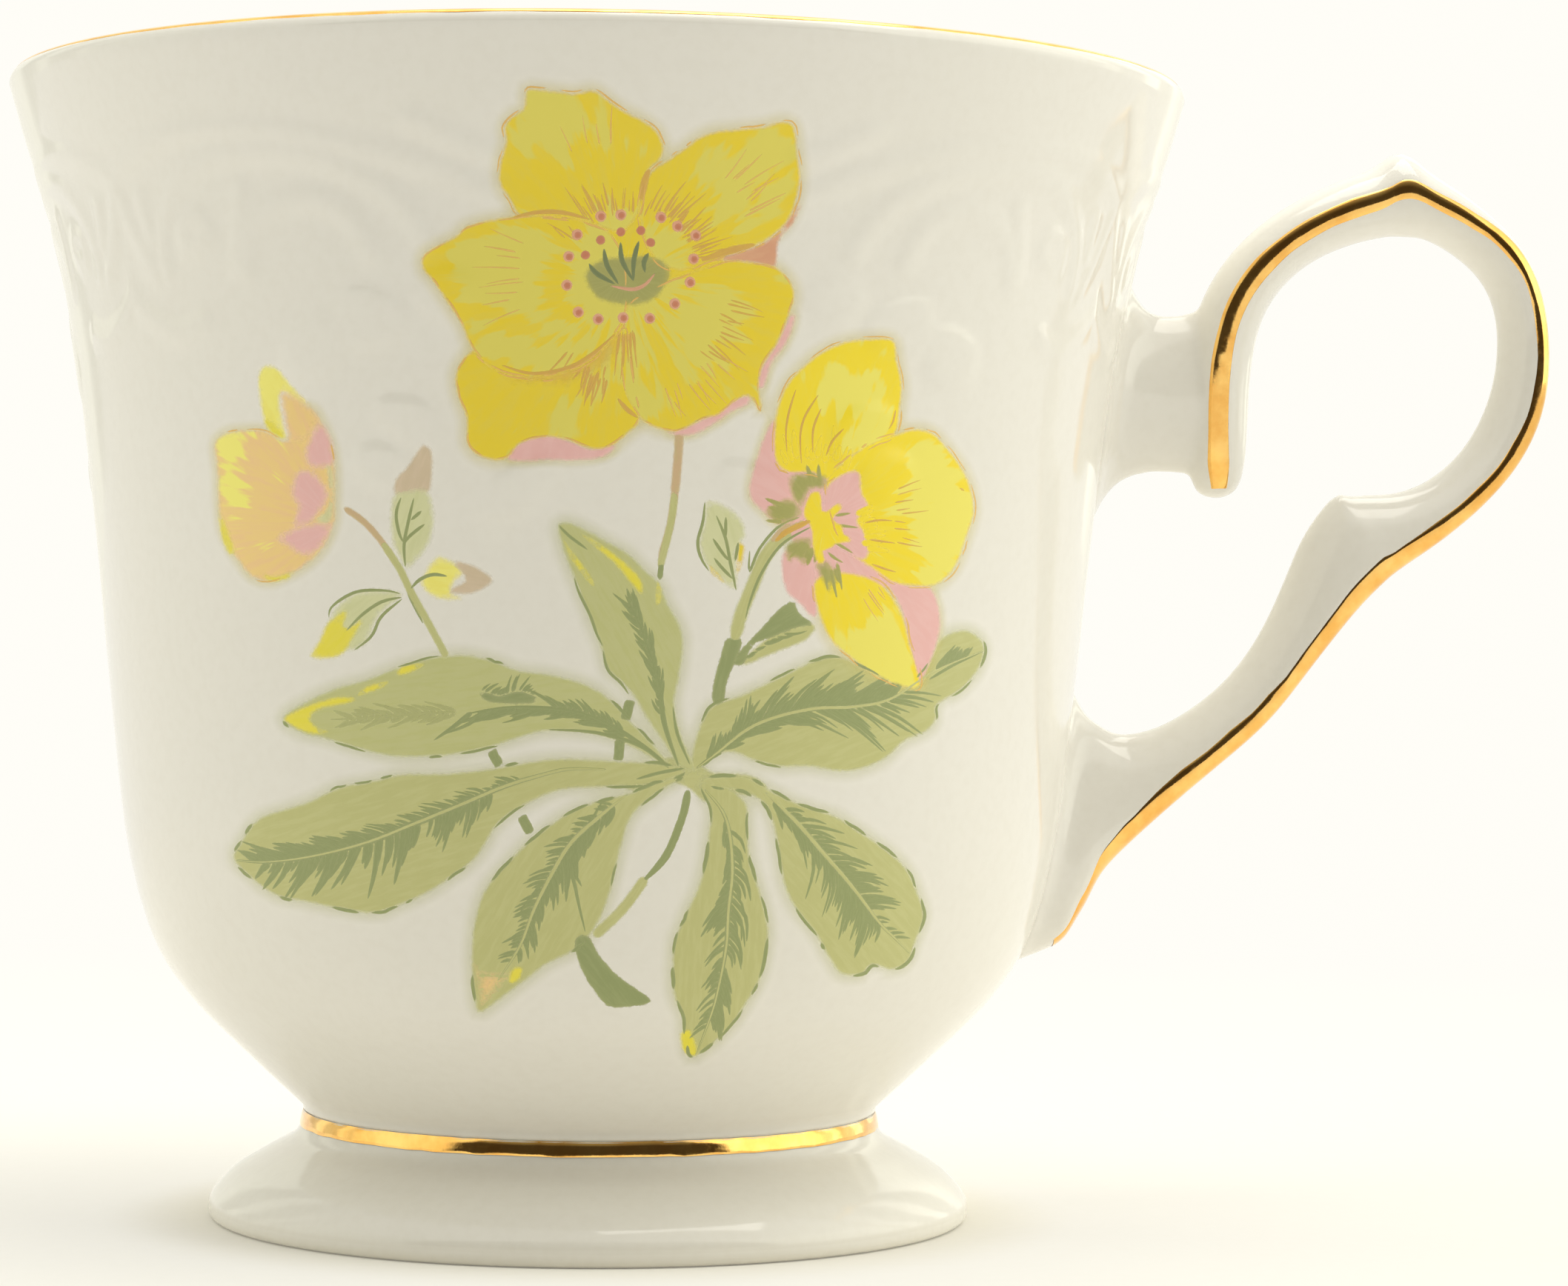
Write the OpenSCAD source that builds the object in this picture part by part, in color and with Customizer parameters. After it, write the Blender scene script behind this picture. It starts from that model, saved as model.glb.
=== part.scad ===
// Footed porcelain teacup: a flared bowl on a low pedestal foot, with a scrolled
// handle, gilded edges and a bouquet of yellow flowers laid on the front.
// The cup stands on the plane z = 0 with its axis on Z. The handle points along +X
// and the bouquet faces -Y.

/* [Bowl] */

// Diameter across the lip, in mm
rim_d = 80; // [76:1:84]
// Height from the table to the top of the lip
cup_h = 77.2; // [74:0.4:80]
// Wall thickness at the lip
lip_t = 1.6; // [1.4:0.1:2]
// Wall thickness at the bottom of the bowl
base_t = 2.5; // [2:0.1:3]

/* [Foot] */

// Radius of the waist between bowl and foot
waist_r = 19.6; // [19:0.2:20.2]
// Radius of the spreading foot
foot_r = 25.9; // [25:0.1:27]
// Width of the flat ring that the cup stands on
ring_w = 2; // [1.6:0.2:2.6]

/* [Handle] */

// Thickness of the slip that sticks the handle to the bowl
slip_t = 0.5; // [0.3:0.1:0.8]

/* [Decoration] */

// Thickness of the gold
gold_t = 0.1; // [0.08:0.02:0.2]
// Thickness of each enamel layer of the bouquet
enamel_t = 0.12; // [0.1:0.02:0.2]
// Width of the gold band round the waist
band_w = 1.1; // [0.8:0.1:1.4]

/* [Hidden] */

$fn = 96;
wide = rim_d / 80;
tall = cup_h / 77.2;
lip_r = lip_t / 2;
waist_h = 7.3;
waist_top = waist_h + 0.4;
waist_bottom = waist_h - 0.8;
lip_h = cup_h - lip_r - gold_t;
lip_centre = rim_d / 2 - gold_t - lip_r;

porcelain = [0.95, 0.95, 0.93];
gold = [0.85, 0.63, 0.25];
yellow = [0.93, 0.85, 0.2];
pink = [0.93, 0.7, 0.72];
peach = [0.93, 0.75, 0.5];
sage = [0.71, 0.74, 0.48];
deep_green = [0.5, 0.6, 0.4];

// ---- curves ----

// One point of a smooth curve between b and c, with a and d its neighbours.
function between(a, b, c, d, t) =
    0.5 * (2 * b + (c - a) * t + (2 * a - 5 * b + 4 * c - d) * t * t
        + (3 * b - a - 3 * c + d) * t * t * t);

// A smooth curve through the points of p, with n steps from each to the next.
function smooth(p, n) = concat(
    [for (i = [0 : len(p) - 2]) for (s = [0 : n - 1])
        between(p[max(i - 1, 0)], p[i], p[i + 1], p[min(i + 2, len(p) - 1)], s / n)],
    [p[len(p) - 1]]);

function reversed(p) = [for (i = [len(p) - 1 : -1 : 0]) p[i]];
function unit(v) = v / norm(v);
function left_of(v) = [-v[1], v[0]];
function heading(p, i) = unit(p[min(i + 1, len(p) - 1)] - p[max(i - 1, 0)]);
function arc(c, r, from, to, n) =
    [for (i = [0 : n]) c + r * [cos(from + (to - from) * i / n), sin(from + (to - from) * i / n)]];

// ---- bowl and foot profiles, as [radius, height] ----

outer_wall = smooth([
    [waist_r, waist_top],
    [23.35 * wide, 11.2 * tall],
    [27.35 * wide, 15.2 * tall],
    [29.9 * wide, 19.3 * tall],
    [31.6 * wide, 25.5 * tall],
    [32.7 * wide, 34.5 * tall],
    [33.9 * wide, 46.5 * tall],
    [35.25 * wide, 57.5 * tall],
    [36.9 * wide, 66.3 * tall],
    [38.9 * wide, 72.8 * tall],
    [lip_centre + lip_r, lip_h]], 3);
wall_steps = len(outer_wall) - 1;

// The wall thins evenly from the base to the lip.
inner_wall = [for (i = [1 : wall_steps])
    outer_wall[i] + left_of(heading(outer_wall, i)) * (base_t + (lip_t - base_t) * i / wall_steps)];
floor_h = inner_wall[0][1] - 0.6;

foot_curve = smooth([
    [waist_r, waist_bottom],
    [20.3, 5.5],
    [22.1, 4.5],
    [foot_r - 1.6, 3.2],
    [foot_r - 0.2, 1.7],
    [foot_r, 0.8]], 3);
ring_r = foot_r - 0.6;
hollow_curve = smooth([
    [ring_r - ring_w, 0],
    [ring_r - ring_w - 0.9, 1.2],
    [ring_r - ring_w - 2.6, 3],
    [17.6, 4.6],
    [16.6, 6.2]], 3);

module bowl_envelope(extra) {
    rotate_extrude()
        polygon(concat(
            [[0, waist_top]],
            [for (p = outer_wall) p + [extra, 0]],
            [[0, lip_h]]));
}

module skin(from, to) {
    rotate_extrude()
        polygon(concat(
            [for (p = outer_wall) p + [to, 0]],
            reversed([for (p = outer_wall) p + [from, 0]])));
}

// ---- the three porcelain pieces ----

module bowl() {
    color(porcelain)
        rotate_extrude()
            polygon(concat(
                [[0, waist_h], [waist_r, waist_h]],
                outer_wall,
                arc([lip_centre, lip_h], lip_r, 15, 165, 10),
                reversed(inner_wall),
                [[inner_wall[0][0] - 3, floor_h + 0.1], [0, floor_h]]));
}

module pedestal_foot() {
    color(porcelain)
        rotate_extrude()
            polygon(concat(
                [[waist_r, waist_h]],
                foot_curve,
                arc([foot_r - 0.6, 0.6], 0.6, -15, -90, 4),
                hollow_curve,
                [[16.4, waist_h]]));
}

// The scroll from its curled tip, over the top and down to the bowl. Each station has
// the outer edge's x and z, the inner edge's x and z, half the thickness, and how far
// the ridge lies from the middle towards the outer edge.
scroll_stations = [
    [42.4, 49.6, 43.1, 49.6, 0.4, 0],
    [41.3, 50.2, 44.2, 50.3, 1.5, 0],
    [40.7, 52.6, 44.8, 52.6, 2.5, 0.1],
    [40.4, 58.6, 45, 58.4, 3.1, 0.1],
    [41.4, 63.4, 45.6, 61.9, 3.2, 0.1],
    [44.2, 67.6, 47.4, 64.7, 3.2, 0],
    [48.6, 70.7, 50.4, 66.8, 3.2, 0],
    [52.8, 72.2, 53.8, 67.7, 3.2, 0],
    [55.25, 73.6, 55.6, 67.8, 3.3, 0],
    [57.8, 72, 57.6, 67.5, 3.2, 0],
    [62.1, 69.2, 60.4, 65.8, 3.1, 0.2],
    [64.9, 65.6, 62, 63.3, 2.9, 0.3],
    [65.8, 60.1, 62.3, 60.1, 2.8, 0.4],
    [65.2, 54.9, 61.7, 56.2, 2.8, 0.5],
    [62.6, 50.6, 59.4, 52.2, 2.9, 0.5],
    [58.9, 47.3, 56.2, 50.3, 3, 0.5],
    [55.4, 44.8, 52.4, 49.9, 3.1, 0.5],
    [54, 43.6, 50.8, 49.7, 3.2, 0.5],
    [51.9, 41.4, 48.4, 46.5, 3.2, 0.5],
    [48.8, 37.4, 47, 42.4, 3, 0.5],
    [46.4, 34.1, 44.7, 38.2, 2.9, 0.5],
    [43.4, 31.6, 41.6, 35.2, 3, 0.5],
    [38.5, 27.4, 37.2, 32.8, 3.3, 0.5],
    [35.2, 24.2, 34.6, 34, 3.7, 0.5],
    [33.4, 21, 33.2, 35.2, 4.1, 0.5],
    [31.6, 18.6, 31.6, 36.4, 4.3, 0.5],
    [27.6, 17.2, 27.6, 37, 4.3, 0.5]];

// The short bracket from the bowl to the scroll's back.
bracket_stations = [
    [33.8, 65.6, 33, 48.2, 4.1, 0],
    [36.4, 63.7, 36, 50.6, 3.4, 0],
    [38.2, 62.3, 38, 51.3, 2.9, 0],
    [40, 62.2, 40, 51.3, 2.6, 0],
    [42, 62.6, 42, 51.2, 2.4, 0],
    [43.6, 61.5, 43.6, 52.2, 1.6, 0]];

ring_points = 16;

// The point of a station's cross-section at angle a: the ridge on each side is where
// the two faces of the strap meet, grown outwards by extra.
function section_point(s, a, extra) =
    let (outer = [s[0], s[1]], inner = [s[2], s[3]])
    let (half = norm(outer - inner) / 2 + extra)
    let (across = cos(a) + s[5] * pow(sin(a), 2))
    let (spot = (outer + inner) / 2 + unit(outer - inner) * across * half)
    let (side = sign(sin(a)) * pow(abs(sin(a)), 1.25) * (s[4] + extra))
    [spot[0], side, spot[1]];

// A solid lofted through rings of the same number of points.
module loft(rings) {
    n = len(rings[0]);
    last = (len(rings) - 1) * n;
    polyhedron(
        points = [for (r = rings) for (p = r) p],
        faces = concat(
            [[for (i = [0 : n - 1]) i]],
            [for (k = [0 : len(rings) - 2]) for (i = [0 : n - 1])
                each [[k * n + i, (k + 1) * n + i, (k + 1) * n + (i + 1) % n],
                    [k * n + i, (k + 1) * n + (i + 1) % n, k * n + (i + 1) % n]]],
            [[for (i = [n - 1 : -1 : 0]) last + i]]));
}

module strap(stations, steps) {
    loft([for (s = smooth(stations, steps))
        [for (i = [0 : ring_points - 1]) section_point(s, -i * 360 / ring_points, 0)]]);
}

module handle() {
    color(porcelain)
        difference() {
            union() {
                strap(scroll_stations, 2);
                strap(bracket_stations, 2);
            }
            bowl_envelope(slip_t);
        }
}

// A pad of slip on the bowl, drawn as an oval seen from the handle's side.
module slip_pad(centre_h, half_w, half_h) {
    color(porcelain)
        intersection() {
            translate([0, 0, centre_h])
                rotate([90, 0, 90])
                    linear_extrude(rim_d / 2)
                        scale([half_w, half_h])
                            circle(1);
            skin(0, slip_t);
        }
}

module upper_slip_joint() {
    slip_pad(56.9, 4.3, 8);
}

module lower_slip_joint() {
    slip_pad(26.9, 4.9, 10);
}

// ---- gilding ----

module rim_gilding() {
    color(gold)
        rotate_extrude()
            polygon(concat(
                arc([lip_centre, lip_h], lip_r + gold_t, 20, 140, 10),
                arc([lip_centre, lip_h], lip_r, 140, 20, 10)));
}

module waist_gilding() {
    color(gold)
        rotate_extrude()
            translate([waist_r, waist_h - band_w / 2 - 0.1])
                square([gold_t, band_w]);
}

gilded = smooth([for (i = [1 : len(scroll_stations) - 4]) scroll_stations[i]], 2);

// The gold on one ridge. side is 3/4 of a turn for the front and 1/4 for the back.
module ridge_gilding(side) {
    middle = side * 360;
    step = 360 / ring_points;
    color(gold)
        loft([for (s = gilded) concat(
            [for (k = [-1 : 1]) section_point(s, middle + k * step, 0)],
            [for (k = [1 : -1 : -1]) section_point(s, middle + k * step, gold_t)])]);
}

module handle_gilding_front() {
    ridge_gilding(3 / 4);
}

module handle_gilding_back() {
    ridge_gilding(1 / 4);
}

// ---- the bouquet, drawn flat as [x, height] and wrapped onto the front of the bowl ----

module on_bowl(tint, layer) {
    color(tint)
        intersection() {
            rotate([90, 0, 0])
                linear_extrude(rim_d / 2)
                    children();
            skin(layer * enamel_t, (layer + 1) * enamel_t);
        }
}

// A pointed blade from base to tip. bend bows it to the left, and belly above 1 puts
// its widest place nearer the tip.
module blade(base, tip, half_w, bend, belly) {
    n = 9;
    along = tip - base;
    side = left_of(unit(along));
    spine = [for (i = [0 : n]) base + along * i / n + side * bend * sin(180 * i / n)];
    width = [for (i = [0 : n]) half_w * sin(180 * pow(i / n, belly))];
    polygon(concat(
        [for (i = [0 : n]) spine[i] + side * width[i]],
        [for (i = [n - 1 : -1 : 1]) spine[i] - side * width[i]]));
}

// A line of even width along a smooth path.
module ribbon(path, w) {
    p = smooth(path, 3);
    polygon(concat(
        [for (i = [0 : len(p) - 1]) p[i] + left_of(heading(p, i)) * w / 2],
        [for (i = [len(p) - 1 : -1 : 0]) p[i] - left_of(heading(p, i)) * w / 2]));
}

module main_bloom_outline() {
    blade([1, 60.5], [-3.2, 73], 5.4, -0.5, 1.35);
    blade([1.5, 61], [12, 71], 4.6, 0.6, 1.4);
    blade([2.5, 61.5], [-10.6, 61.6], 4.7, 0.4, 1.2);
    blade([2, 60.5], [-7, 49.6], 3.9, 0.5, 1.4);
    blade([1.2, 61], [9.6, 52], 6.1, 0.4, 1.5);
}

module main_bloom_petals() {
    on_bowl(yellow, 0)
        main_bloom_outline();
}

module main_bloom_under_petals() {
    on_bowl(pink, 0)
        difference() {
            union() {
                blade([4, 58.5], [-3.2, 49.4], 3.4, 0, 1.3);
                blade([4, 57], [9, 51.4], 3.6, 0, 1.3);
                blade([5, 61.5], [12.2, 62.6], 3, 0, 1.2);
            }
            main_bloom_outline();
        }
}

module main_bloom_eye() {
    on_bowl(deep_green, 1)
        translate([1.7, 61.6])
            scale([2.5, 2.1])
                circle(1);
}

module main_bloom_anthers() {
    on_bowl(peach, 1)
        for (a = [0 : 30 : 330])
            translate([1.7 + 3.9 * cos(a), 61.5 + 3.3 * sin(a)])
                circle(0.32);
}

module side_bloom_outline() {
    blade([13.4, 49.6], [18.2, 58.2], 3.9, 0.4, 1.2);
    blade([14.8, 47.6], [23.6, 47.4], 4.6, 0.4, 1.3);
    blade([14.6, 44.6], [20.2, 36.8], 2.7, 0.5, 0.95);
}

module side_bloom_petals() {
    on_bowl(yellow, 0)
        difference() {
            side_bloom_outline();
            side_bloom_heart_outline();
        }
}

module side_bloom_under_petals() {
    on_bowl(pink, 0)
        difference() {
            union() {
                blade([15, 44], [20.9, 38], 3.1, 1.8, 1.1);
                blade([13.8, 47], [10.4, 52.2], 1.9, 0, 1.1);
                blade([14.2, 47], [13, 41.6], 2, 0, 1);
            }
            side_bloom_outline();
            side_bloom_heart_outline();
        }
}

module side_bloom_heart_outline() {
    blade([12.4, 50], [16.2, 44.6], 1.5, 0, 1);
}

module side_bloom_heart() {
    on_bowl(peach, 0)
        side_bloom_heart_outline();
}

module left_bud_outline() {
    blade([-16.6, 47], [-20.9, 56.4], 2.6, -1.6, 1.1);
    blade([-17, 48], [-24, 51.6], 2.4, 0.8, 1.1);
}

module left_bud_petals() {
    on_bowl(yellow, 0)
        difference() {
            left_bud_outline();
            left_bud_blush_outline();
        }
}

module left_bud_blush_outline() {
    blade([-16.4, 49.8], [-20.4, 42.6], 3.3, -0.9, 1.1);
}

module left_bud_blush() {
    on_bowl(peach, 0)
        left_bud_blush_outline();
}

module small_bud_outline() {
    blade([-11.4, 45], [-10.5, 51.2], 1.15, 0, 0.9);
    blade([-10.6, 43.4], [-6.3, 43.1], 1.15, 0, 0.9);
    blade([8.2, 43.2], [7.2, 48.4], 1.25, 0, 0.9);
}

module small_buds() {
    on_bowl(pink, 0)
        small_bud_outline();
}

module upper_leaf_outline() {
    blade([5.2, 32.6], [-2.1, 46.6], 2.5, -0.6, 1.2);
}

module right_leaf_outline() {
    blade([6.4, 32.4], [24.6, 39.6], 3.6, -0.4, 1);
}

module upper_left_leaf_outline() {
    blade([4.6, 32.2], [-19.2, 34.4], 2.7, -1.1, 1);
}

module stem_outline() {
    ribbon([[5.2, 51.6], [4.8, 47], [3.9, 42], [2.2, 36.4], [1.6, 32.4]], 0.9);
    ribbon([[-15.4, 47.4], [-12.6, 44.4], [-10.8, 41], [-9, 38.4]], 0.7);
    ribbon([[13, 47], [10.4, 44.8], [8.8, 41], [7.6, 36.4]], 1.1);
    ribbon([[5.8, 30.4], [4.6, 26.6], [2.4, 23.2], [0.3, 21]], 0.8);
    ribbon([[-0.7, 21.2], [0.4, 19], [3.4, 17.2]], 1.5);
}

module leaves_outline() {
    upper_leaf_outline();
    right_leaf_outline();
    upper_left_leaf_outline();
    dark_leaf_outline();
    lower_left_leaf_outline();
}

module dark_leaf_outline() {
    blade([8.6, 37.4], [13.6, 41.6], 1.3, 0.5, 1.1);
}

module lower_left_leaf_outline() {
    blade([3.2, 30.2], [-7.1, 16.4], 3.2, 0.4, 1.2);
}

module stems() {
    on_bowl(deep_green, 0)
        difference() {
            stem_outline();
            leaves_outline();
            main_bloom_outline();
            side_bloom_outline();
            side_bloom_heart_outline();
            small_bud_outline();
        }
}

module leaf_upper() {
    on_bowl(sage, 0)
        upper_leaf_outline();
}

module leaf_right() {
    on_bowl(sage, 0)
        difference() {
            right_leaf_outline();
            side_bloom_outline();
            blade([15, 44], [20.9, 38], 3.1, 1.8, 1.1);
        }
}

module leaf_lower_right() {
    on_bowl(sage, 0)
        blade([9.6, 30.4], [20.2, 18.9], 3.3, 0.6, 1.2);
}

module leaf_bottom() {
    on_bowl(sage, 0)
        blade([6.8, 30.2], [6.3, 13.4], 2.5, 1.9, 1.1);
}

module leaf_lower_left() {
    on_bowl(sage, 0)
        lower_left_leaf_outline();
}

module leaf_left() {
    on_bowl(sage, 0)
        difference() {
            blade([1.8, 31], [-22.6, 25.2], 3.4, -0.6, 1.1);
            upper_left_leaf_outline();
            lower_left_leaf_outline();
            stem_outline();
        }
}

module leaf_upper_left() {
    on_bowl(sage, 0)
        difference() {
            upper_left_leaf_outline();
            upper_leaf_outline();
        }
}

module leaf_dark() {
    on_bowl(deep_green, 0)
        dark_leaf_outline();
}

module leaf_sprig() {
    on_bowl(sage, 0)
        blade([-11.9, 42.3], [-17.5, 38.3], 1.5, 0.5, 1.1);
}

bowl();
pedestal_foot();
handle();
upper_slip_joint();
lower_slip_joint();
rim_gilding();
waist_gilding();
handle_gilding_front();
handle_gilding_back();
main_bloom_petals();
main_bloom_under_petals();
main_bloom_eye();
main_bloom_anthers();
side_bloom_petals();
side_bloom_under_petals();
side_bloom_heart();
left_bud_petals();
left_bud_blush();
small_buds();
stems();
leaf_upper();
leaf_right();
leaf_lower_right();
leaf_bottom();
leaf_lower_left();
leaf_left();
leaf_upper_left();
leaf_dark();
leaf_sprig();
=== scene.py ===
import math
import random

import bmesh
import bpy
import numpy as np
from mathutils import Matrix, Vector
from mathutils.bvhtree import BVHTree
from mathutils.geometry import delaunay_2d_cdt


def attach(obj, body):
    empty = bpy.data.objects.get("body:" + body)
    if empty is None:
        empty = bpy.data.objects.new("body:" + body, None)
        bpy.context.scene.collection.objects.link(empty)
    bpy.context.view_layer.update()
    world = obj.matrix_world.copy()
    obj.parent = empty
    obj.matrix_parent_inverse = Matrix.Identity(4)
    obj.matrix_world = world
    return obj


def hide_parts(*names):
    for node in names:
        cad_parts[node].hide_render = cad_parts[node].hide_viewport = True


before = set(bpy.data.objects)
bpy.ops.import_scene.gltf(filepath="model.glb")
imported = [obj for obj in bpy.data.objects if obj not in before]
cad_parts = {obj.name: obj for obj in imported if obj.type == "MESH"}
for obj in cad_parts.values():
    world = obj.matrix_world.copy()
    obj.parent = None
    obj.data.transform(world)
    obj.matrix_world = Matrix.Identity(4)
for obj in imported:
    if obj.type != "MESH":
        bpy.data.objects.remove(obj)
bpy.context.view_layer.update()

MM = 0.001

# ---------------------------------------------------------------- sizes, in mm, as in the CAD
WAIST_R = 19.6
JOINT_H = 7.3
OUTER = [(19.6, 7.7), (23.35, 11.2), (27.35, 15.2), (29.9, 19.3), (31.6, 25.5), (32.7, 34.5),
         (33.9, 46.5), (35.25, 57.5), (36.9, 66.3), (38.9, 72.8), (39.9, 76.3)]
LIP_CENTRE, LIP_H, LIP_R = 39.1, 76.3, 0.8
BASE_T, LIP_T = 2.5, 1.6
FOOT = [(19.6, 6.5), (20.3, 5.5), (22.1, 4.5), (24.3, 3.2), (25.7, 1.7), (25.9, 0.8)]
TOE = (25.3, 0.6, 0.6)
HOLLOW = [(23.3, 0), (22.4, 1.2), (20.7, 3), (17.6, 4.6), (16.6, 6.2)]
SCROLL = [
    (42.4, 49.6, 43.1, 49.6, .4, 0), (41.3, 50.2, 44.2, 50.3, 1.5, 0), (40.7, 52.6, 44.8, 52.6, 2.5, .1),
    (40.4, 58.6, 45, 58.4, 3.1, .1), (41.4, 63.4, 45.6, 61.9, 3.2, .1), (44.2, 67.6, 47.4, 64.7, 3.2, 0),
    (48.6, 70.7, 50.4, 66.8, 3.2, 0), (52.8, 72.2, 53.8, 67.7, 3.2, 0), (55.25, 73.6, 55.6, 67.8, 3.3, 0),
    (57.8, 72, 57.6, 67.5, 3.2, 0), (62.1, 69.2, 60.4, 65.8, 3.1, .2), (64.9, 65.6, 62, 63.3, 2.9, .3),
    (65.8, 60.1, 62.3, 60.1, 2.8, .4), (65.2, 54.9, 61.7, 56.2, 2.8, .5), (62.6, 50.6, 59.4, 52.2, 2.9, .5),
    (58.9, 47.3, 56.2, 50.3, 3, .5), (55.4, 44.8, 52.4, 49.9, 3.1, .5), (54, 43.6, 50.8, 49.7, 3.2, .5),
    (51.9, 41.4, 48.4, 46.5, 3.2, .5), (48.8, 37.4, 47, 42.4, 3, .5), (46.4, 34.1, 44.7, 38.2, 2.9, .5),
    (43.4, 31.6, 41.6, 35.2, 3, .5), (38.5, 27.4, 37.2, 32.8, 3.3, .5), (35.2, 24.2, 34.6, 34, 3.7, .5),
    (33.4, 21, 33.2, 35.2, 4.1, .5), (31.6, 18.6, 31.6, 36.4, 4.3, .5), (27.6, 17.2, 27.6, 37, 4.3, .5)]
BRACKET = [
    (33.8, 65.6, 33, 48.2, 4.1, 0), (36.4, 63.7, 36, 50.6, 3.4, 0), (38.2, 62.3, 38, 51.3, 2.9, 0),
    (40, 62.2, 40, 51.3, 2.6, 0), (42, 62.6, 42, 51.2, 2.4, 0), (43.6, 61.5, 43.6, 52.2, 1.6, 0)]

# The moulded lines on the bowl's upper half, as (degrees from a mirror line, height). They
# repeat every 60 degrees, mirrored each time. These and the bouquet's outlines below were picked
# by eye on the photographed cup, and a helper program turned the points into degrees and mm.
RELIEF_AXIS = 4.5
RELIEF_LINES = [
    [(61.1, 68.1), (55.7, 69.5), (49.1, 70.5), (41.1, 70.6), (32.9, 69.9), (26.2, 68.9), (20.4, 67.9),
     (15.2, 66.4)],
    [(53.1, 62.5), (52.5, 65.2), (47.7, 68.2), (40.9, 69.1), (33.2, 68.8), (28, 67.6), (23.7, 65.8),
     (20.9, 63.3)],
    [(41.7, 62.1), (40.5, 64.4), (37.4, 65.8), (33.1, 66.2), (29.2, 65.2), (27.1, 63)],
    [(49.5, 63.7), (49.5, 64.9), (47.3, 65.4), (46.3, 64.5), (47.9, 63.7)],
    [(41, 66.8), (41.8, 64.8), (42.4, 62.4)],
    [(60.3, 68.1), (58.4, 65.5), (55.2, 62.3)],
    [(61.6, 62.8), (58.9, 60.3), (52.6, 58.5), (48.3, 59.1)],
    [(55.6, 66.7), (55, 64.4)],
    [(14.4, 68.6), (17.9, 69.4), (21.7, 70.7)],
]
RELIEF_MOUNDS = [
    [(30, 60), (27.1, 60), (24.2, 59.1), (25.5, 58), (29.8, 57.8)],
    [(26.3, 53.4), (23.2, 53.4), (21.5, 52.4), (21.9, 51), (24.5, 52.2)],
    [(29.4, 50.2), (27.1, 50.7), (24.6, 50.1), (26.8, 49.2)],
    [(15.7, 47.2), (14.4, 48.6), (12.1, 49.5), (9.2, 49.8), (10.9, 48.6), (13.6, 47.2)],
    [(17.5, 60.5), (19.2, 61.3), (21.8, 60.4), (19.7, 59.4)],
    [(31.3, 58), (33.6, 58.6), (36.8, 57.7), (36.2, 56), (33, 56.2)],
]

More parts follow.
